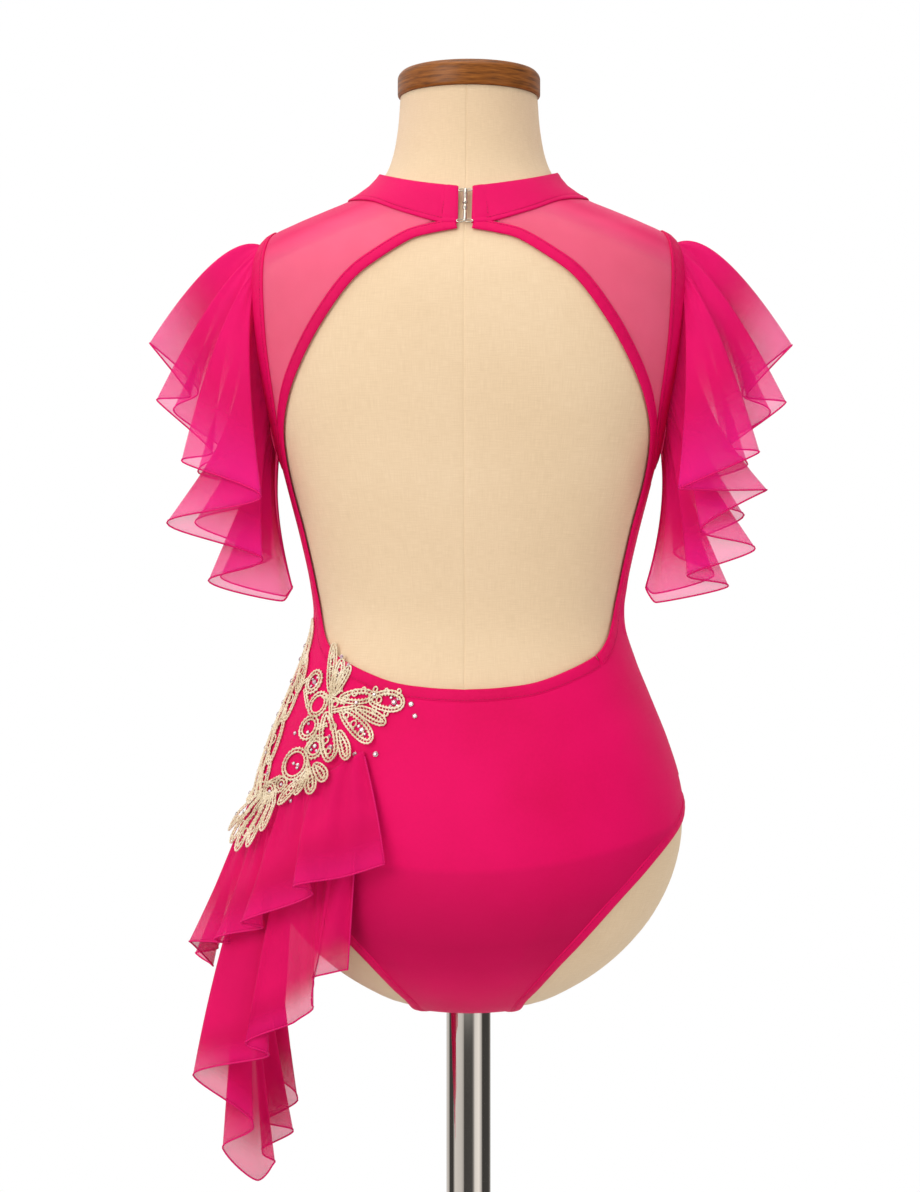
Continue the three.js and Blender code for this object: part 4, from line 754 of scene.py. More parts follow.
for side, word in ((1, "right"), (-1, "left")):
    places = np.stack([side * yoke_angles, yoke_levels], -1)[::-1]
    if side < 0:
        places = places[:, ::-1]
    places = places.reshape(-1, 2)
    yoke = sewn_panel(f"mesh_yoke_{word}", places, grid_faces(len(yoke_inner), YOKE_COLUMNS), sheer.material,
                      1.0, 1.35)
    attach(yoke, "root")
    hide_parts(f"yoke_{word}")

# ---- Collar ----
# A mock-neck band of the same knit, folded double at the top, open at the centre back. Its
# foot is sewn over the yokes and the front; each end is turned back 15 mm and stitched down.
COLLAR_TOP = [(0, 1425), (35, 1431.6), (73, 1443.5), (90, 1446), (120, 1440), (150, 1427), (180, 1421)]
COLLAR_SECTION = [  # share of the height, share through the wall from inside to outside
    (0.012, 0.1), (-0.012, 0.5), (0.0, 0.92), (0.04, 1.06), (0.085, 1.0), (0.11, 0.86), (0.135, 1.0), (0.22, 1.08),
    (0.5, 1.06), (0.8, 1.06), (0.93, 1.08), (0.985, 0.95), (1.0, 0.55), (0.985, 0.12), (0.9, 0.0), (0.5, 0.0),
]
COLLAR_WALL = 1.6
TURN_BACK = 14.6
NECK_PER_DEGREE = 1.12
CLOTH_BED = 1.1  # height of the sewn-on bands' inner face above the torso


def hose_faces(count, sides, closed=False):
    """Faces of a hose of that many rings: a closed round of them, or two capped ends."""
    faces = grid_faces(count, sides, ring=True)
    last = (count - 1) * sides
    if closed:
        return faces + [[last + c, last + (c + 1) % sides, (c + 1) % sides, c] for c in range(sides)]
    return faces + [list(range(sides))[::-1], [last + c for c in range(sides)]]


def swept(name, rings, look, closed=False):
    """A body from rings of points laid one after another; uv runs along it and round it."""
    rings = np.asarray(rings, float)
    count, sides = rings.shape[:2]
    run = length_along(rings[:, sides // 2])
    girth = length_along(rings[0])
    uv = np.stack(np.broadcast_arrays(run[:, None], girth[None]), -1).reshape(-1, 2)
    return piece(name, rings.reshape(-1, 3), hose_faces(count, sides, closed), look, uv)


def collar_level(angle, share):
    """The level at a share of the collar's height."""
    foot, top = height_on(COLLAR_FOOT, angle) + 0.3, height_on(COLLAR_TOP, angle)
    return level_at(foot + share * (top - foot))


collar_knit = satin_knit("collar_knit", (0.62, 0.0004, 0.092), (0.69, 0.0007, 0.107), (0.74, 0.001, 0.12))
section = np.array(COLLAR_SECTION)
ends = 3.7 + 0.9 * section[:, 0]
travel = np.concatenate([[0, 0.0012, 0.003], np.linspace(0.006, 0.994, 180), [0.997, 0.9988, 1]])
collar_rings = []
for t in travel:
    angle = ends + t * (360 - 2 * ends)
    from_end = np.minimum(angle, 360 - angle) * NECK_PER_DEGREE
    doubled = 0.45 * smooth_step((TURN_BACK + 0.8 - from_end) / 1.6)
    stitched = 0.75 * np.exp(-(((from_end - TURN_BACK) / 1.0) ** 2))
    soft = 0.25 * np.sin(angle / 9.0 + 4 * section[:, 0]) * smooth_step((from_end - 16) / 20)
    thick = (COLLAR_WALL + doubled - stitched + soft) * (1.0 if 0.002 < t < 0.998 else 0.72)
    lift = CLOTH_BED + 1.3 * section[:, 0] + thick * section[:, 1]
    collar_rings.append(lifted(angle, collar_level(angle, section[:, 0]), lift))
collar = swept("collar_band", collar_rings, collar_knit)
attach(collar, "root")
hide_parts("collar")

# ---- Bindings and low back hem ----
# Strips of the knit folded over each raw edge and stitched near their inner fold. They draw
# the edge in a little, so the strips ripple finely between the stitches.
# Sections: share of the width from the free edge, height above the torso.
FREE_FOLD = [(0.03, 1.1), (-0.02, 1.6), (0.0, 2.3)]
SEWN_FOLD = [(0.8, 2.5), (0.88, 2.75), (0.96, 2.6), (1.0, 2.0), (0.98, 1.1)]
BINDING_SECTION = [*FREE_FOLD, (0.1, 2.85), (0.28, 3.05), (0.55, 3.0), (0.72, 2.8), *SEWN_FOLD]
HEM_SECTION = [*FREE_FOLD, (0.06, 2.75), (0.2, 2.9), (0.5, 2.85), (0.78, 2.75), (0.87, 2.4), (0.94, 2.55),
               (1.0, 2.3), (1.04, 1.6), (1.0, 1.1)]
ARMHOLE_SECTION = [(-0.2, 1.5), (-0.27, 2.1), (-0.25, 2.8), (-0.12, 3.3), (0.15, 3.5), (0.5, 3.3), (0.72, 2.9),
                   *SEWN_FOLD]  # its outer fold covers the root of the sleeve
binding_knit = satin_knit("binding_knit", (0.62, 0.0008, 0.082), (0.70, 0.0012, 0.1), (0.76, 0.002, 0.115))


def trim(name, edge, width, section, towards, closed):
    """A folded strip of that section along an edge."""
    run = travel_of(edge)
    rings = []
    for share, height in section:
        curve = moved_aside(edge, share * width, towards, closed) if share else edge
        ripple = 0.13 * np.sin(run / 1.45 + share * 2) * np.sin(np.pi * np.clip(share, 0, 1)) * (height > 1.3)
        drawn = np.ones(len(run)) if closed else np.minimum(1, 0.75 + 0.25 * np.minimum(run, run[-1] - run) / 0.8)
        rings.append(lifted(*curve.T, CLOTH_BED + (height - CLOTH_BED) * drawn + ripple))
    return swept(name, np.stack(rings, 1), binding_knit, closed)


fine_opening = curve_on_form(BACK_OPENING, 1.3)
hem_at = int(np.argmin(np.abs(fine_opening[:, 0] - 60) + 1000 * (height_at(fine_opening[:, 1]) > 1075)))
side_edge = fine_opening[:hem_at]
hem_edge = np.vstack([fine_opening[hem_at:], mirrored(fine_opening[hem_at:-1])[::-1]])
ARM_POINTS = 300
fine_arm = armhole_curve(ARM_POINTS)
fine_leg = curve_on_form(leg_rows, 1.6, from_heights=False)[:-1]
ARMHOLE_WIDTH = BINDING_WIDTH * (1.35 + 0.65 * np.sin(np.linspace(0, math.tau, ARM_POINTS, endpoint=False)))
ARMHOLE_WIDTH = np.maximum(ARMHOLE_WIDTH, 9.0)
TRIMS = [
    ("opening_binding_right", side_edge, BINDING_WIDTH, BINDING_SECTION, 1, False),
    ("opening_binding_left", mirrored(side_edge), BINDING_WIDTH, BINDING_SECTION, -1, False),
    ("low_back_hem", hem_edge, BINDING_WIDTH, HEM_SECTION, 1, False),
    ("armhole_binding_right", fine_arm, ARMHOLE_WIDTH, ARMHOLE_SECTION, -1, True),
    ("armhole_binding_left", mirrored(fine_arm), ARMHOLE_WIDTH, ARMHOLE_SECTION, 1, True),
    ("leg_binding_right", fine_leg, LEG_BINDING_WIDTH, BINDING_SECTION, 1, True),
    ("leg_binding_left", mirrored(fine_leg), LEG_BINDING_WIDTH, BINDING_SECTION, -1, True),
]
for node, edge, width, shape, towards, closed in TRIMS:
    strip = trim(f"{node}_strip", edge, width, shape, towards, closed)
    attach(strip, "root")
    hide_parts(node)
    length = travel_of(edge)[-1] * 0.001

# ---- Seams and stitching ----
# Machine stitches of about 2.6 mm in matching thread, sunk in the cloth and painted darker than it
# as painted shade in the stitch lines, and the low ridges of the shoulder, side and crotch seams.
STITCH_PITCH = 2.6
STITCH_LENGTH = 2.0
STITCH_HEIGHT = 2.55
THREAD = 0.24
SEAM_STEP = 1.3


def tube(points, normals, radius, sides=6, closed=False):
    """Rings of points round a line; the radius may change along it and round it."""
    points = np.asarray(points, float)
    along = direction(points, closed)
    across = unit(np.cross(along, normals))
    out = np.cross(across, along)
    spin = np.linspace(0, math.tau, sides, endpoint=False)
    ring = across[:, None] * np.cos(spin)[None, :, None] + out[:, None] * np.sin(spin)[None, :, None]
    if np.ndim(radius) < 2:
        radius = np.broadcast_to(radius, len(points))[:, None]
    return points[:, None] + ring * radius[..., None]


def gathered_up(name, bodies, look):
    """One mesh from bodies of points and faces."""
    points, faces, start = [], [], 0
    for body, body_faces in bodies:
        points.append(body)
        faces += [[v + start for v in face] for face in body_faces]
        start += len(body)
    return piece(name, np.vstack(points), faces, look)


def joined(name, bodies, look):
    """One mesh from many short tubes with as many rings and sides each."""
    faces = hose_faces(*np.shape(bodies[0])[:2])
    return gathered_up(name, [(body.reshape(-1, 3), faces) for body in bodies], look)


def stitches_on(curve, height, closed=False):
    """The stitches along a curve of angle and level."""
    curve = np.vstack([curve, curve[:1]]) if closed else np.asarray(curve, float)
    height = np.broadcast_to(height, len(curve))
    travel = travel_of(curve)
    bodies = []
    for start in np.arange(1.5, travel[-1] - STITCH_LENGTH, STITCH_PITCH):
        at = start + STITCH_LENGTH * np.array([0.0, 0.12, 0.5, 0.88, 1.0])
        angle, level, rise = (np.interp(at, travel, column) for column in (*curve.T, height))
        sunk = np.array([-0.22, -0.02, 0.14, -0.02, -0.22])
        spine = lifted(angle, level, rise + sunk)
        bodies.append(tube(spine, form_normal(angle, level), THREAD * np.array([0.25, 0.8, 1, 0.8, 0.25])))
    return bodies


# The thread's colour is painted darker than the cloth, as painted shade in the stitch lines; its twist shows as light
# and dark turns.
thread = Look("matching_thread_painted_dark", 0.5, Specular_IOR_Level=0.15, Sheen_Weight=0.08, Sheen_Tint=(1.0, 0.3, 0.5, 1))
twist = thread.wave(500, thread.spread("Object", turn=0.6), "X")
thread.paint(twist, [(0.2, (0.33, 0.001, 0.04)), (0.8, (0.60, 0.005, 0.10))])
thread.bump(twist, 0.0002, 0.4)


def collar_line(angle, share):
    return np.stack(np.broadcast_arrays(angle, collar_level(angle, share)), 1)


STITCH_GROUPS = {"opening": [], "hem": [], "armhole": [], "leg": [], "collar": []}
for node, edge, width, shape, towards, closed in TRIMS:
    group = next(key for key in ("opening", "hem", "armhole", "leg") if key in node)
    share = 0.87 if group == "hem" else 0.8
    line = moved_aside(edge, share * width, towards, closed)
    STITCH_GROUPS[group] += stitches_on(line, STITCH_HEIGHT, closed)
foot_line = collar_line(np.linspace(5, 355, 200), 0.11)
STITCH_GROUPS["collar"] += stitches_on(foot_line, CLOTH_BED + 0.14 + 0.86 * COLLAR_WALL + 0.1)
for angle in (TURN_BACK / NECK_PER_DEGREE, 360 - TURN_BACK / NECK_PER_DEGREE):
    end_line = collar_line(angle, np.linspace(0.16, 0.93, 20))
    STITCH_GROUPS["collar"] += stitches_on(end_line, CLOTH_BED + 0.65 + 1.06 * COLLAR_WALL - 0.15)
for group, bodies in STITCH_GROUPS.items():
    obj = joined(f"{group}_stitches", bodies, thread.material)
    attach(obj, "root")

crotch_x = np.linspace(NOTCH + 0.6, 33.5, 8)
crotch = plan_point(crotch_x, 0.01)
SEAMS = [("shoulder", shoulder_seam[1:], 2.2, 0.75), ("side", side_seam[2:-2], 2.1, 0.7), ("crotch", crotch, 2.0, 0.7)]
for word, curve, height, radius in SEAMS:
    for side, hand in ((1, "right"), (-1, "left")):
        count = max(8, int(travel_of(curve)[-1] / SEAM_STEP))
        line = resampled(curve, count) * [side, 1]
        normals = form_normal(*line.T)
        spine = lifted(*line.T, height - 0.25 + 0.06 * np.sin(np.arange(count + 1) * 2.4))
        obj = swept(f"{word}_seam_{hand}", tube(spine, normals, radius, 8), binding_knit)
        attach(obj, "root")

# ---- Flutter sleeves ----
# Each is one circular-cut flounce of chiffon, sewn to the armhole from the front underarm over
# the shoulder to the back underarm. It falls in cone-shaped flutes and ends in a rolled hem.

# Each fold, from the front underarm round to the back: the height of its root on the armhole,
# then its bend from the root outwards, forwards and up. The back folds bend backwards.
SLEEVE_FOLDS = [
    (1225, 6, 2, -45), (1232, 6, 4, -44), (1240, 14, 6, -36), (1255, 8, 7, -50), (1284, 20, 8, -46),
    (1352, 6, 18, -56), (1364, 28, 12, -34), (1376, 24, 10, -44), (1384, 34, 5, -22), (1388, 36, 5, -22),
    (1390.8, 31, -2, 15), (1388, 34, -6, -22), (1384, 34, -4, -22), (1376, 24, -10, -44), (1366, 28, -12, -34),
    (1352, 6, -18, -56),
]
LEFT_BACK_FOLDS = [
    (1284, 20, -8, -46), (1254, 8, -7, -50), (1240, 14, -6, -36), (1231, 6, -4, -44), (1225, 6, -2, -45),
]
RIGHT_BACK_FOLDS = [
    (1290, 24, -7, -40), (1268, 14, -9, -44), (1256, 20, -8, -38), (1245, 10, -7, -46), (1238, 14, -6, -40),
    (1231, 6, -4, -44), (1225, 6, -2, -45),
]
LEFT_SLEEVE_HEM = [  # the fold's point on the hem: outwards from the middle, y, z
    (144, 20, 1118), (151, 31, 1110), (205, 41, 1126), (164, 45, 1142), (228, 53, 1171), (164, 73, 1192),
    (226, 54, 1213), (203, 41, 1229), (242, 28, 1262), (219, 15, 1276), (256, 0, 1313), (221, -13, 1269),
    (247, -26, 1266), (200, -39, 1223), (223, -53, 1216), (158, -72, 1187), (234, -52, 1167), (160, -44, 1139),
    (203, -40, 1122), (147, -30, 1106), (140, -19, 1116),
]
RIGHT_SLEEVE_HEM = [
    (142, 20, 1119), (150, 31, 1112), (199, 41, 1128), (166, 45, 1146), (223, 53, 1176), (166, 73, 1194),
    (227, 54, 1218), (205, 41, 1232), (243, 28, 1258), (219, 15, 1274), (258, 0, 1310), (220, -13, 1268),
    (250, -26, 1262), (204, -39, 1226), (228, -53, 1222), (163, -74, 1192), (233, -51, 1192), (182, -51, 1161),
    (225, -46, 1147), (173, -40, 1126), (205, -34, 1118), (149, -27, 1105), (141, -18, 1117),
]
CHIFFON = 0.3
ROLLED_HEM = 0.68
BETWEEN_FOLDS = 12  # mesh columns from one fold of a table to the next
fine_arm_root = moved_aside(fine_arm, 1.0, 1, closed=True)


def along_folds(rows, at):
    """Rows joined by a curve that never swings past a row."""
    rows = np.asarray(rows, float)
    steps = np.diff(rows, axis=0)
    same_way = steps[:-1] * steps[1:] > 0
    slopes = np.zeros_like(rows)
    slopes[1:-1] = np.where(same_way, 2 * steps[:-1] * steps[1:] / np.where(same_way, steps[:-1] + steps[1:], 1), 0)
    i = np.clip(np.floor(at).astype(int), 0, len(rows) - 2)
    t = (at - i)[:, None]
    ends = (2 * t**3 - 3 * t**2 + 1) * rows[i] + (3 * t**2 - 2 * t**3) * rows[i + 1]
    return ends + (t**3 - 2 * t**2 + t) * slopes[i] + (t**3 - t**2) * slopes[i + 1]


def arm_turn(root_z, behind):
    """The turn round the armhole, in degrees, of a root at this height."""
    rise = np.clip((root_z - ARMHOLE["z"]) / ARMHOLE["half_height"], -1, 1)
    turn = math.degrees(math.asin(np.sign(rise) * abs(rise) ** (ARMHOLE["power"] / 2)))
    return 180 - turn if behind else turn


def arm_root(side):
    """A function that gives points of the sleeve's root line for turns round the armhole."""
    def root(turn):
        at = ((np.asarray(turn) - 90) / 360 * ARM_POINTS) % ARM_POINTS
        i = np.floor(at).astype(int)
        t = (at - i)[:, None]
        spot = fine_arm_root[i % ARM_POINTS] * (1 - t) + fine_arm_root[(i + 1) % ARM_POINTS] * t
        lift = 4.4 - 2.6 * smooth_step((height_at(spot[:, 1]) - 1236) / 26)
        return lifted(side * spot[:, 0], spot[:, 1], lift)
    return root


def flounce(name, strands, root_of, look, length_steps=30, gathers=(0.9, 5.0, 3.0), flutter=1.0):
    """A flounce hung from its root line, with its rolled hem as a piece of its own.

    gathers: size of the small folds, waves in a strand's width, and how fast they fade downwards.
    """
    strands = np.array(strands, float)
    across = np.linspace(0, len(strands) - 1, (len(strands) - 1) * BETWEEN_FOLDS + 1)
    rows = along_folds(strands, across)
    root, hem = root_of(rows[:, 0]), rows[:, 4:7]
    bend = root + rows[:, 1:4]
    t = np.linspace(1, 0, length_steps + 1)[:, None, None]
    middle = (1 - t) ** 2 * root + 2 * t * (1 - t) * bend + t**2 * hem
    normal = unit(np.cross(np.gradient(middle, axis=1), np.gradient(middle, axis=0)))
    size, waves, fade = gathers
    fold = across[None, :, None]
    ease = np.sin(fold * 1.7) * 0.4 + 0.8
    middle = middle + normal * (size * ease * (1 - t) ** fade * t**0.5 * 2 * np.sin(math.tau * fold * waves / 2.3))
    middle = middle + normal * flutter * t**2 * np.sin(fold * 5.1 + 1.3 * np.sin(fold * 1.9)) * np.sin(t * 2.2)
    normal = unit(np.cross(np.gradient(middle, axis=1), np.gradient(middle, axis=0)))
    height, width = middle.shape[:2]
    run = np.linalg.norm(np.diff(middle, axis=1), axis=2).mean(0)
    u = np.concatenate([[0], np.cumsum(run)])
    drop = length_along(middle[:, width // 2])
    uv = np.stack(np.broadcast_arrays(u[None], -drop[:, None]), -1).reshape(-1, 2)
    faces = grid_faces(height, width)
    skins = [(middle + normal * CHIFFON / 2 * s).reshape(-1, 3) for s in (1, -1)]
    sheet = wall_of(name, *skins, faces, look, uv)
    rim = np.vstack([middle[::-1, 0][2:-1], middle[0], middle[1:-2, -1]])
    rim_normal = np.vstack([normal[::-1, 0][2:-1], normal[0], normal[1:-2, -1]])
    hem_roll = swept(f"{name}_rolled_hem", tube(rim, rim_normal, ROLLED_HEM, 7), rolled.material)
    return sheet, hem_roll


def chiffon_look(name, deep, thin, at_hem, at_root, depth):
    """Sheer crepe chiffon, closer and less clear towards its gathers."""
    look = Look(name, 0.62, Sheen_Weight=0.1, Sheen_Roughness=0.4, Sheen_Tint=(1.0, 0.4, 0.6, 1),
                Specular_IOR_Level=0.1)
    on_cloth = look.spread()
    crepe = look.weave(on_cloth, (1100, 1.5), (1100, 1.5))
    mist = look.noise(26)
    dense = look.ramp(mist, [(0.3, deep), (0.7, tuple(1.08 * v for v in deep))])
    drop = look.node("SeparateXYZ", {0: on_cloth}).outputs["Y"]
    fall = {"interpolation_type": "SMOOTHSTEP"}
    gathered = look.node("MapRange", {0: drop, 1: -0.01, 2: -depth, 3: at_hem, 4: at_root}, **fall)
    upwards = look.node("MapRange", {0: drop, 1: 0.0, 2: -0.6 * depth, 3: 0.0, 4: 1.0}, **fall)
    look.link(look.node("MixRGB", {0: upwards.outputs[0], 1: (*thin, 1), 2: dense}).outputs[0], "Base Color")
    threads = look.maths("SUBTRACT", look.maths("MULTIPLY", crepe, 0.12), 0.03)
    look.link(look.maths("ADD", gathered.outputs[0], threads), "Alpha")
    look.bump(look.maths("ADD", crepe, look.noise(90)), 0.0003, 0.4)
    return look.material


sleeve_chiffon = chiffon_look("sleeve_chiffon", (0.79, 0.004, 0.145), (0.97, 0.016, 0.30), 0.36, 0.88, 0.11)
# The drape's chiffon is painted darker than the sleeves', as painted shade low on the hip.
shaded_drape_chiffon = chiffon_look("shaded_drape_chiffon", (0.71, 0.002, 0.112), (0.86, 0.008, 0.19), 0.47, 0.86, 0.06)
rolled = Look("rolled_chiffon_edge", 0.55, Specular_IOR_Level=0.15)
turns = rolled.wave(160, rolled.spread(turn=0.5), "X", 0.5)
rolled.paint(turns, [(0.2, (0.54, 0.002, 0.10)), (0.8, (0.76, 0.007, 0.165))])
rolled.bump(turns, 0.0003, 0.5)

SLEEVES = [
    ("left", -1, SLEEVE_FOLDS + LEFT_BACK_FOLDS, LEFT_SLEEVE_HEM),
    ("right", 1, SLEEVE_FOLDS + RIGHT_BACK_FOLDS, RIGHT_SLEEVE_HEM),
]
for word, side, folds, hem_points in SLEEVES:
    outwards = np.array([1, side, 1, 1, side, 1, 1])
    strands = [(arm_turn(root_z, bend[1] < 0), *bend, *hem) for (root_z, *bend), hem in zip(folds, hem_points)]
    strands = (np.array(strands, float) * outwards)[::-side]
    sleeve, hem = flounce(f"chiffon_sleeve_{word}", strands, arm_root(side), sleeve_chiffon)
    for obj in (sleeve, hem):
        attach(obj, "root")
    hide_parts(f"flutter_sleeve_{word}")

# ---- Hip drape ----
# Two tiers of the same chiffon, cut round like the sleeves and gathered on one line under the
# lace, painted darker than the sleeves as painted shade. The lower tier is the long one; both end in the same rolled
# hem.
GATHER_LINE = [  # angle, z, from the back round to the front
    (-39.5, 991), (-44, 984), (-49, 976), (-55, 966), (-61, 955), (-67, 945), (-73, 937), (-80, 938), (-88, 946),
    (-97, 951), (-107, 953), (-117, 951),
]
# Columns: share of the gathered line, bend from the root, hem point.
UPPER_TIER = [
    (0.0, (12, -14, -42), (-59, -121, 908)), (0.1, (-4, -16, -42), (-92, -128, 899)),
    (0.24, (-12, -20, -36), (-126, -131, 892)), (0.3, (-4, -16, -44), (-112, -120, 886)),
    (0.4, (-12, -16, -44), (-168, -110, 862)), (0.46, (-10, -12, -46), (-154, -98, 857)),
    (0.54, (-12, -10, -44), (-193, -88, 847)), (0.6, (-10, -7, -44), (-181, -76, 842)),
    (0.68, (-14, -6, -40), (-215, -62, 841)), (0.75, (-12, 0, -44), (-199, -42, 819)),
    (0.82, (-14, 2, -42), (-215, -22, 826)), (0.88, (-12, 4, -42), (-201, -2, 828)),
    (0.94, (-12, 6, -42), (-209, 20, 834)), (1.0, (-9, 8, -40), (-186, 44, 842)),
]
LOWER_TIER = [
    (0.02, (-2, -21, -70), (-88, -105, 826)), (0.1, (-6, -19, -70), (-114, -108, 820)),
    (0.22, (-5, -12, -75), (-114, -106, 799)), (0.28, (-8, -13, -75), (-127, -113, 788)),
    (0.36, (-14, -14, -80), (-164, -119, 773)), (0.42, (-10, -16, -85), (-148, -112, 762)),
    (0.5, (-34, -10, -85), (-206, -99, 744)), (0.55, (-8, -9, -95), (-161, -89, 705)),
    (0.6, (-12, -8, -95), (-186, -79, 684)), (0.66, (-7, -6, -100), (-161, -68, 657)),
    (0.7, (-5, -5, -100), (-150, -59, 669)), (0.74, (-6, -3, -100), (-161, -50, 676)),
    (0.79, (-4, -2, -98), (-136, -41, 690)), (0.84, (-6, -1, -96), (-160, -34, 696)),
    (0.88, (-4, 1, -90), (-134, -22, 712)), (0.92, (-6, 3, -84), (-164, -4, 738)),
    (0.96, (-5, 4, -76), (-150, 16, 764)), (1.0, (-6, 6, -66), (-176, 38, 794)),
]


def gather_root(lift):
    """A function that gives points of the gathered line for shares of its length."""
    def root(share):
        spot = along_rows(GATHER_LINE, np.clip(share, 0, 1) * (len(GATHER_LINE) - 1))
        return lifted(spot[:, 0], level_at(spot[:, 1]), lift)
    return root


TIERS = [(UPPER_TIER, 5.5, "upper", (0.385, 0.156), 0.032), (LOWER_TIER, 4.0, "lower", (0.575, 0.30), 0.068)]
for rows, lift, word, flat, area in TIERS:
    strands = [(at, *bend, *hem) for at, bend, hem in rows[::-1]]
    tier, hem = flounce(f"chiffon_drape_{word}", strands, gather_root(lift), shaded_drape_chiffon,
                        length_steps=34, gathers=(2.0, 3.4, 1.5), flutter=1.8)
    for obj in (tier, hem):
        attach(obj, "root")
    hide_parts(f"hip_drape_{word}")

# ---- Corded lace ----
# A guipure motif of generic loops and rings: every line is a pair of twisted cream cords
# joined by little bars, with knots along the outside. It is sewn flat to the left hip.
# Single-cord rings fill the gaps. Drawn flat: ACROSS_PER_DEGREE to a degree round, and height.
LACE_PETALS = [  # across, z, to across, to z, half width
    (-150, 1036, -162, 1071, 3.6), (-147, 1036, -147, 1059, 4.0), (-144, 1033, -137, 1054, 3.2),
    (-137, 1030, -106, 1033, 4.6), (-107, 1030, -72, 1027, 7.2), (-118, 1022, -88, 1013, 3.4),
    (-133, 1022, -98, 998, 6.0), (-130, 1004, -114, 985, 3.6), (-146, 1018, -131, 983, 6.8),
    (-147, 976, -135, 958, 3.8), (-144, 979, -127, 968, 3.4), (-150, 974, -149, 957, 3.0),
    (-156, 966, -164, 949, 4.0), (-199, 1056, -216, 1090, 6.0), (-189, 1034, -203, 1063, 7.0),
    (-194, 1012, -199, 1046, 7.4), (-208, 1004, -206, 1036, 6.6), (-195, 978, -198, 1012, 7.4),
    (-208, 968, -211, 1004, 7.0), (-195, 955, -198, 982, 6.4), (-211, 946, -213, 974, 6.4),
    (-198, 955, -229, 926, 5.6), (-192, 954, -210, 919, 5.8), (-187, 955, -194, 915, 5.4),
    (-182, 955, -180, 919, 5.0), (-177, 957, -169, 930, 4.0),
]
LACE_RINGS = [  # across, z, radius
    (-172, 1042, 7.4), (-159, 1025, 8.0), (-160, 1007, 7.6), (-163, 979, 10.6), (-149, 992, 6.6), (-172, 963, 4.6),
    (-184, 957, 5.4),
]
LACE_STEMS = [  # across, z, to across, to z
    (-156, 1032, -132, 1027), (-149, 1033, -138, 1037), (-142, 1020, -120, 1024), (-150, 1036, -141, 1014),
    (-152, 1006, -143, 1010), (-156, 990, -150, 1002), (-176, 968, -190, 962), (-180, 1044, -192, 1038),
    (-168, 1022, -180, 1036), (-152, 981, -146, 972), (-216, 1046, -218, 1002), (-217, 1004, -220, 946),
    (-205, 974, -196, 950), (-213, 1088, -217, 1044),
]
LACE_CELLS = [  # across, z, radius
    (-141, 1026, 2.7), (-132, 1030, 2.3), (-124, 1034.5, 2.5), (-116, 1036.5, 2.3), (-98, 1029.5, 2.4),
    (-127, 1017, 2.4), (-118, 1011, 2.5), (-109, 1004, 2.3), (-136, 1008, 2.6), (-140, 998, 2.4), (-135, 990, 2.2),
    (-147, 1047, 2.0), (-160, 1062, 1.8), (-156, 1052, 2.1), (-141, 1044, 1.9), (-151, 966, 1.9), (-141, 967, 2.0),
    (-159, 957, 2.0), (-92, 1036, 2.1), (-78, 1036, 2.0), (-88, 1019, 1.9), (-104, 1037.5, 2.0), (-101, 1022, 2.1),
    (-197, 1028, 3.4), (-201, 996, 3.4), (-210, 986, 3.2), (-209, 1020, 3.2), (-196, 966, 3.0), (-213, 959, 3.0),
    (-204, 1074, 3.0), (-203, 930, 2.8), (-192, 926, 2.4), (-181, 929, 2.2), (-187, 943, 2.4), (-218, 932, 2.8),
    (-198, 1050, 3.0),
]
CORD = 0.68
CORD_SIDES = 7
CORD_STEP = 0.62
CORDS_APART = 1.3
PLY_PITCH = 3.0
PLY_RELIEF = 0.3
BAR_PITCH = 3.3
KNOT_PITCH = 3.3
LACE_BED = 2.5
GATHERS_BED = 6.8


def lace_lift(angle, z):
    """How high the lace lies: on the panels above, over the gathers lower down."""
    line = np.array(GATHER_LINE, float)
    above = z - np.interp(-angle, -line[:, 0], line[:, 1])
    down = (GATHERS_BED - LACE_BED) * smooth_step((above - 2) / 14)
    lift = np.where(above > 2, GATHERS_BED - down, GATHERS_BED + 0.6 * (2 - above))
    return np.where((above > 16) | (angle > -36), LACE_BED, lift)


def laid(flat, height):
    """Points and normals on the hip for points of the flat drawing."""
    angle = flat[..., 0] / ACROSS_PER_DEGREE
    level = level_at(flat[..., 1])
    return lifted(angle, level, lace_lift(angle, flat[..., 1]) + height), form_normal(angle, level)


WHOLE_TURN = np.linspace(0, math.tau, 97)[:-1]


def petal_line(a, z, to_a, to_z, half):
    """A closed loop, wider towards its tip."""
    length = math.hypot(to_a - a, to_z - z)
    along = np.array([to_a - a, to_z - z]) / length
    t = 0.5 - 0.5 * np.cos(WHOLE_TURN)
    wide = np.sin(WHOLE_TURN) * half * (0.72 + 0.36 * t)
    sway = 0.5 * np.sin(t * 3.1 + a)
    return np.array([a, z]) + np.outer(t * length, along) + np.outer(wide + sway, [-along[1], along[0]])


def ring_line(a, z, radius):
    return np.stack([a + radius * np.cos(WHOLE_TURN), z + radius * np.sin(WHOLE_TURN)], 1)


def even_line(flat, closed, step):
    """A flat line cut into even steps of about that length."""
    flat = np.vstack([flat, flat[:1]]) if closed else flat
    travel = length_along(flat)
    count = max(3, int(round(travel[-1] / step)))
    at = np.linspace(0, travel[-1], count + 1)
    line = np.stack([np.interp(at, travel, flat[:, k]) for k in range(2)], 1)
    return line[:-1] if closed else line


def aside(flat, offset, closed):
    """A flat line moved sideways."""
    along = direction(flat, closed)
    return flat + np.stack([along[:, 1], -along[:, 0]], 1) * offset


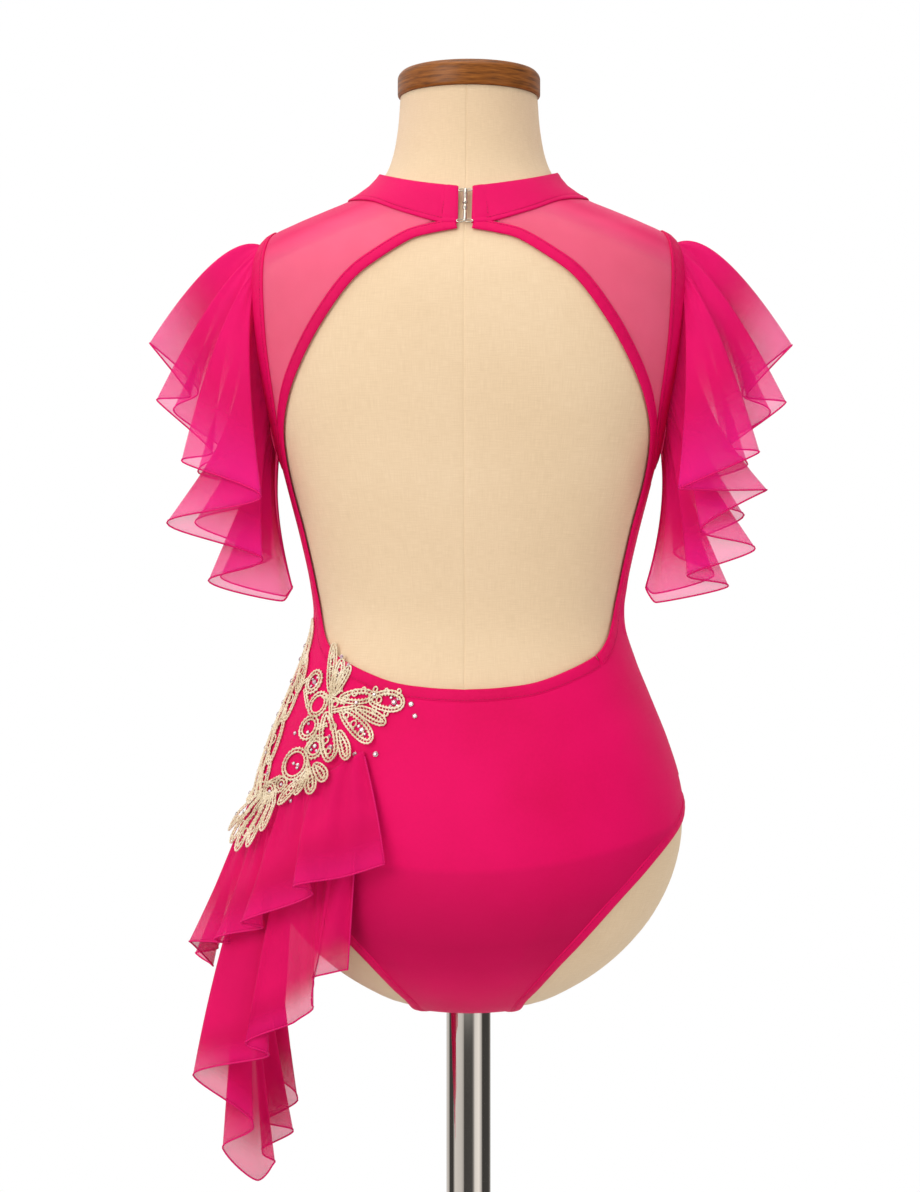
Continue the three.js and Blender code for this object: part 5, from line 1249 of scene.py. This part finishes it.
def twisted_cord(flat, closed, radius, height):
    """Points and faces of a two-ply cord that follows a flat line."""
    points, normals = laid(flat, height)
    spin = np.linspace(0, math.tau, CORD_SIDES, endpoint=False)
    run = length_along(points)
    twist = math.tau * max(1, round(run[-1] / PLY_PITCH)) * run / run[-1]
    thick = radius * (1 + PLY_RELIEF * np.cos(2 * spin[None] - twist[:, None]))
    rings = tube(points, normals, thick, CORD_SIDES, closed)
    return rings.reshape(-1, 3), hose_faces(len(points), CORD_SIDES, closed)


lace = Look("cream_lace_thread", 0.62, Sheen_Weight=0.3, Sheen_Roughness=0.4)
strands_of = lace.noise(900)
age_and_shade = lace.noise(70)
mottle_and_shade = lace.sum_of(age_and_shade, 0.55, strands_of, 0.48)
# Aged cotton mottled at random; the ramp's dark end is painted shade between the cords, spread at random.
lace.paint(mottle_and_shade, [(0.34, (0.44, 0.31, 0.18)), (0.5, (0.74, 0.61, 0.42)), (0.7, (0.92, 0.84, 0.67))])
lace.bump(strands_of, 0.0003, 0.6)

LINES = [(petal_line(*row), True) for row in LACE_PETALS]
LINES += [(ring_line(*row), True) for row in LACE_RINGS]
LINES += [(np.linspace(row[:2], row[2:], 12), False) for row in LACE_STEMS]
cords, bars, knots = [], [], []
for number, (flat, closed) in enumerate(LINES):
    height = 0.62 + 0.32 * (number % 3)
    apart = CORDS_APART * (1.0 if closed else 0.8)
    fine = even_line(flat, closed, CORD_STEP)
    for side in (-1, 1):
        cords.append(twisted_cord(aside(fine, side * apart, closed), closed, CORD, height))
    middle = even_line(flat, closed, BAR_PITCH)
    reach = np.linspace(-1, 1, 4)[None, :, None]
    pair = aside(middle, apart, closed), aside(middle, -apart, closed)
    across_bar = pair[0][:, None] * (1 - reach) / 2 + pair[1][:, None] * (1 + reach) / 2
    points, normals = laid(across_bar, height + 0.1)
    bars += [tube(p, n, [0.3, 0.36, 0.36, 0.3], 5) for p, n in zip(points, normals)]
    outside = aside(even_line(flat, closed, 1.0), 2.05 if closed else apart + 0.6, closed)
    outer = even_line(outside, closed, KNOT_PITCH)
    points, _ = laid(outer[None] + np.zeros((3, 1, 1)), np.array([[-0.1], [0.45], [0.95]]) + height - 0.5)
    knots += [tube(points[:, k], [[0.0, 0.3, 1.0]] * 3, [0.4, 0.86, 0.35]) for k in range(len(outer))]
for number, row in enumerate(LACE_CELLS):
    cell = even_line(ring_line(*row), True, CORD_STEP)
    cords.append(twisted_cord(cell, True, 0.58, 0.9 + 0.2 * (number % 3)))
lace_cords = gathered_up("lace_cords", cords, lace.material)
lace_bars = joined("lace_bars", bars, lace.material)
lace_knots = joined("lace_knots", knots, lace.material)
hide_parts("lace_applique")
for obj in (lace_cords, lace_bars, lace_knots):
    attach(obj, "root")

# ---- Set stones ----
# Small clear stones in metal cups, sewn in the loops and rings of the lace, along its outer
# edge and loose on the knit and the gathers beside it.
STONES = [  # across, z, radius, height above the lace's bed
    (-82, 1028, 1.7, 0), (-86, 1031.5, 1.0, 0), (-85.5, 1025, 1.0, 0), (-78.5, 1030.5, 1.0, 0),
    (-78, 1025.5, 1.0, 0), (-109, 1006.5, 1.8, 0), (-113, 1009.5, 1.1, 0), (-105.5, 1003.5, 1.0, 0),
    (-134.5, 993, 1.7, 0), (-138, 1001, 1.2, 0), (-172, 1042, 1.7, 0), (-175.5, 1044, 1.1, 0),
    (-170, 1045.5, 1.1, 0), (-168.8, 1040, 1.1, 0), (-174.5, 1038.6, 1.1, 0), (-160, 1003.5, 1.3, 0),
    (-162, 1010, 1.1, 0), (-149, 993.5, 1.5, 0), (-151.5, 990.5, 1.1, 0), (-146.5, 990, 1.1, 0),
    (-160.5, 976.5, 1.2, 0), (-165, 979.5, 1.2, 0), (-172, 963, 1.3, 0.4), (-184, 957, 1.5, 0.4),
    (-147, 1049, 1.3, 0), (-138, 1056, 1.2, 1.4), (-147.5, 1062, 1.5, 1.4), (-104, 1033.5, 1.1, 1.2),
    (-120, 1027, 1.2, 1.4), (-218, 1069, 1.7, 1.0), (-219, 1058.5, 1.7, 1.0), (-220, 1041, 1.8, 1.0),
    (-221, 1024, 1.6, 1.0), (-221, 1014.5, 1.6, 1.0), (-221, 1005, 1.6, 1.0), (-222, 988, 1.5, 1.0),
    (-223, 970, 1.4, 1.0), (-224, 952, 1.4, 1.0), (-226, 935, 1.4, 1.0), (-206, 985, 1.3, 1.6),
    (-191, 970, 1.3, 1.6), (-212, 938, 1.2, 1.4),
]
LOOSE_STONES = [  # angle, z, radius
    (-24.3, 1026.8, 1.7), (-22.0, 1017.8, 1.6), (-35.3, 988.8, 1.8), (-42.7, 988.5, 1.5), (-60.1, 951.1, 1.3),
    (-47.6, 966.2, 1.3), (-84.0, 912.0, 1.4), (-66.9, 1002.5, 1.4), (-60.1, 977.9, 1.3),
]
STONE_CUT = [(0.9, 0.12, 0.0), (0.97, 0.42, 0.0), (0.78, 0.72, 0.39), (0.5, 0.9, 0.0)]  # width, height, turn
CUP_SHAPE = [(1.05, -0.15, 0.0), (1.16, 0.1, 0.0), (1.14, 0.5, 0.0), (1.0, 0.52, 0.0), (0.96, 0.3, 0.0)]
PRONGS = 0.09


def round_stone(seat, turn, shape, sides, prongs):
    """Rings of a turned shape on its seat of point, normal and radius."""
    centre, normal, radius = seat
    side = unit(np.cross(normal, [0.3, 0.2, 1.0]))
    up = np.cross(normal, side)
    rings = []
    for share, height, twist in shape:
        spin = np.linspace(0, math.tau, sides, endpoint=False) + turn + twist
        ring = side * np.cos(spin)[:, None] + up * np.sin(spin)[:, None]
        prong = 1 + prongs * np.cos(spin * 4)[:, None]
        rings.append(centre + (ring * share * prong + normal * height) * radius)
    return np.array(rings)


glitter = Look("clear_stone", 0.04, Metallic=0.55, Coat_Weight=0.6, Coat_Roughness=0.02)
# The stones' colour is painted reflection: the pink cloth seen in them, from dark up to white glints, spread at
# random.
painted_reflection = glitter.noise(260, 1)
glitter.paint(painted_reflection, [(0.3, (0.40, 0.17, 0.25)), (0.5, (0.74, 0.55, 0.61)), (0.7, (0.93, 0.90, 0.92))])
cup_metal = Look("bright_cup_metal", 0.2, Metallic=1.0)
rub = cup_metal.noise(300, 2)
cup_metal.paint(rub, [(0.3, (0.42, 0.41, 0.40)), (0.7, (0.72, 0.71, 0.69))])
seats = []
for a, z, radius, height in STONES:
    point, normal = laid(np.array([[a, z]], float), height)
    seats.append((point[0], normal[0], radius))
for angle, z, radius in LOOSE_STONES:
    rise = 7.4 if z < 985 and angle < -40 else 2.2  # on the gathers, or on the knit
    seats.append((lifted(angle, level_at(z), rise), form_normal(angle, level_at(z)), radius))
stones = [round_stone(seat, 0.7 * k, STONE_CUT, 8, 0.0) for k, seat in enumerate(seats)]
cups = [round_stone(seat, 0.7 * k, CUP_SHAPE, 12, PRONGS) for k, seat in enumerate(seats)]
set_stones = joined("lace_stones", stones, glitter.material)
set_stones.data.polygons.foreach_set("use_smooth", [False] * len(set_stones.data.polygons))
stone_cups = joined("lace_stone_cups", cups, cup_metal.material)
for obj in (set_stones, stone_cups):
    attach(obj, "root")

# ---- Bar clasp ----
# A slim turned metal bar that closes the collar: its middle has a small bead, and wire rings
# at its top and foot go through thread loops in both ends of the collar.
BAR_SHAPE = [  # share of the length from the foot, radius
    (0.0, 0.5), (0.015, 1.15), (0.05, 1.5), (0.12, 1.55), (0.25, 1.45), (0.30, 1.1), (0.335, 0.85), (0.36, 1.5),
    (0.40, 1.85), (0.44, 1.95), (0.48, 1.75), (0.51, 1.15), (0.53, 0.95), (0.55, 1.9), (0.575, 2.05), (0.60, 1.75),
    (0.66, 1.6), (0.85, 1.75), (0.93, 1.7), (0.97, 1.35), (0.995, 0.7), (1.0, 0.3),
]
CLASP_FOOT, CLASP_TOP = 1395.6, 1424.2
BAR_RINGS = 90
WIRE = 0.42
silver = Look("bright_silver", 0.16, Metallic=1.0)
wear = silver.noise(220, 3, silver.spread("Object", (1, 1, 0.3)))
silver.paint(wear, [(0.3, (0.42, 0.38, 0.32)), (0.7, (0.70, 0.66, 0.58))])
silver.link(silver.maths("ADD", silver.maths("MULTIPLY", wear, 0.2), 0.06), "Roughness")
shape = np.array(BAR_SHAPE)
share = np.linspace(0, 1, BAR_RINGS)
bar_levels = level_at(CLASP_FOOT + share * (CLASP_TOP - CLASP_FOOT))
bar_points = lifted(np.zeros(BAR_RINGS), bar_levels, 3.4)
bar_normals = form_normal(np.zeros(BAR_RINGS), bar_levels)
bar_rings = tube(bar_points, bar_normals, np.interp(share, shape[:, 0], shape[:, 1]), 20)
clasp_bar = swept("clasp_bar", bar_rings, silver.material)
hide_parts("closure_eye")


def wire_loop(centre_x, z, half_x, half_z):
    """A wire ring that lies on the torso beside the bar."""
    turn = np.linspace(0, math.tau, 37)[:-1]
    x, high = centre_x + half_x * np.cos(turn), z + half_z * np.sin(turn)
    angle = np.degrees(np.arctan2(x, 75))
    points, normals = lifted(angle, level_at(high), 3.3), form_normal(angle, level_at(high))
    return tube(points, normals, WIRE, 8, closed=True).reshape(-1, 3), hose_faces(len(points), 8, closed=True)


loops = [wire_loop(side * 3.2, z, 2.7, high) for side in (-1, 1) for z, high in ((1396.6, 1.1), (1422.6, 0.8))]
clasp_rings = gathered_up("clasp_rings", loops, silver.material)
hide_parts("closure_hook")
for obj in (clasp_bar, clasp_rings):
    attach(obj, "root")
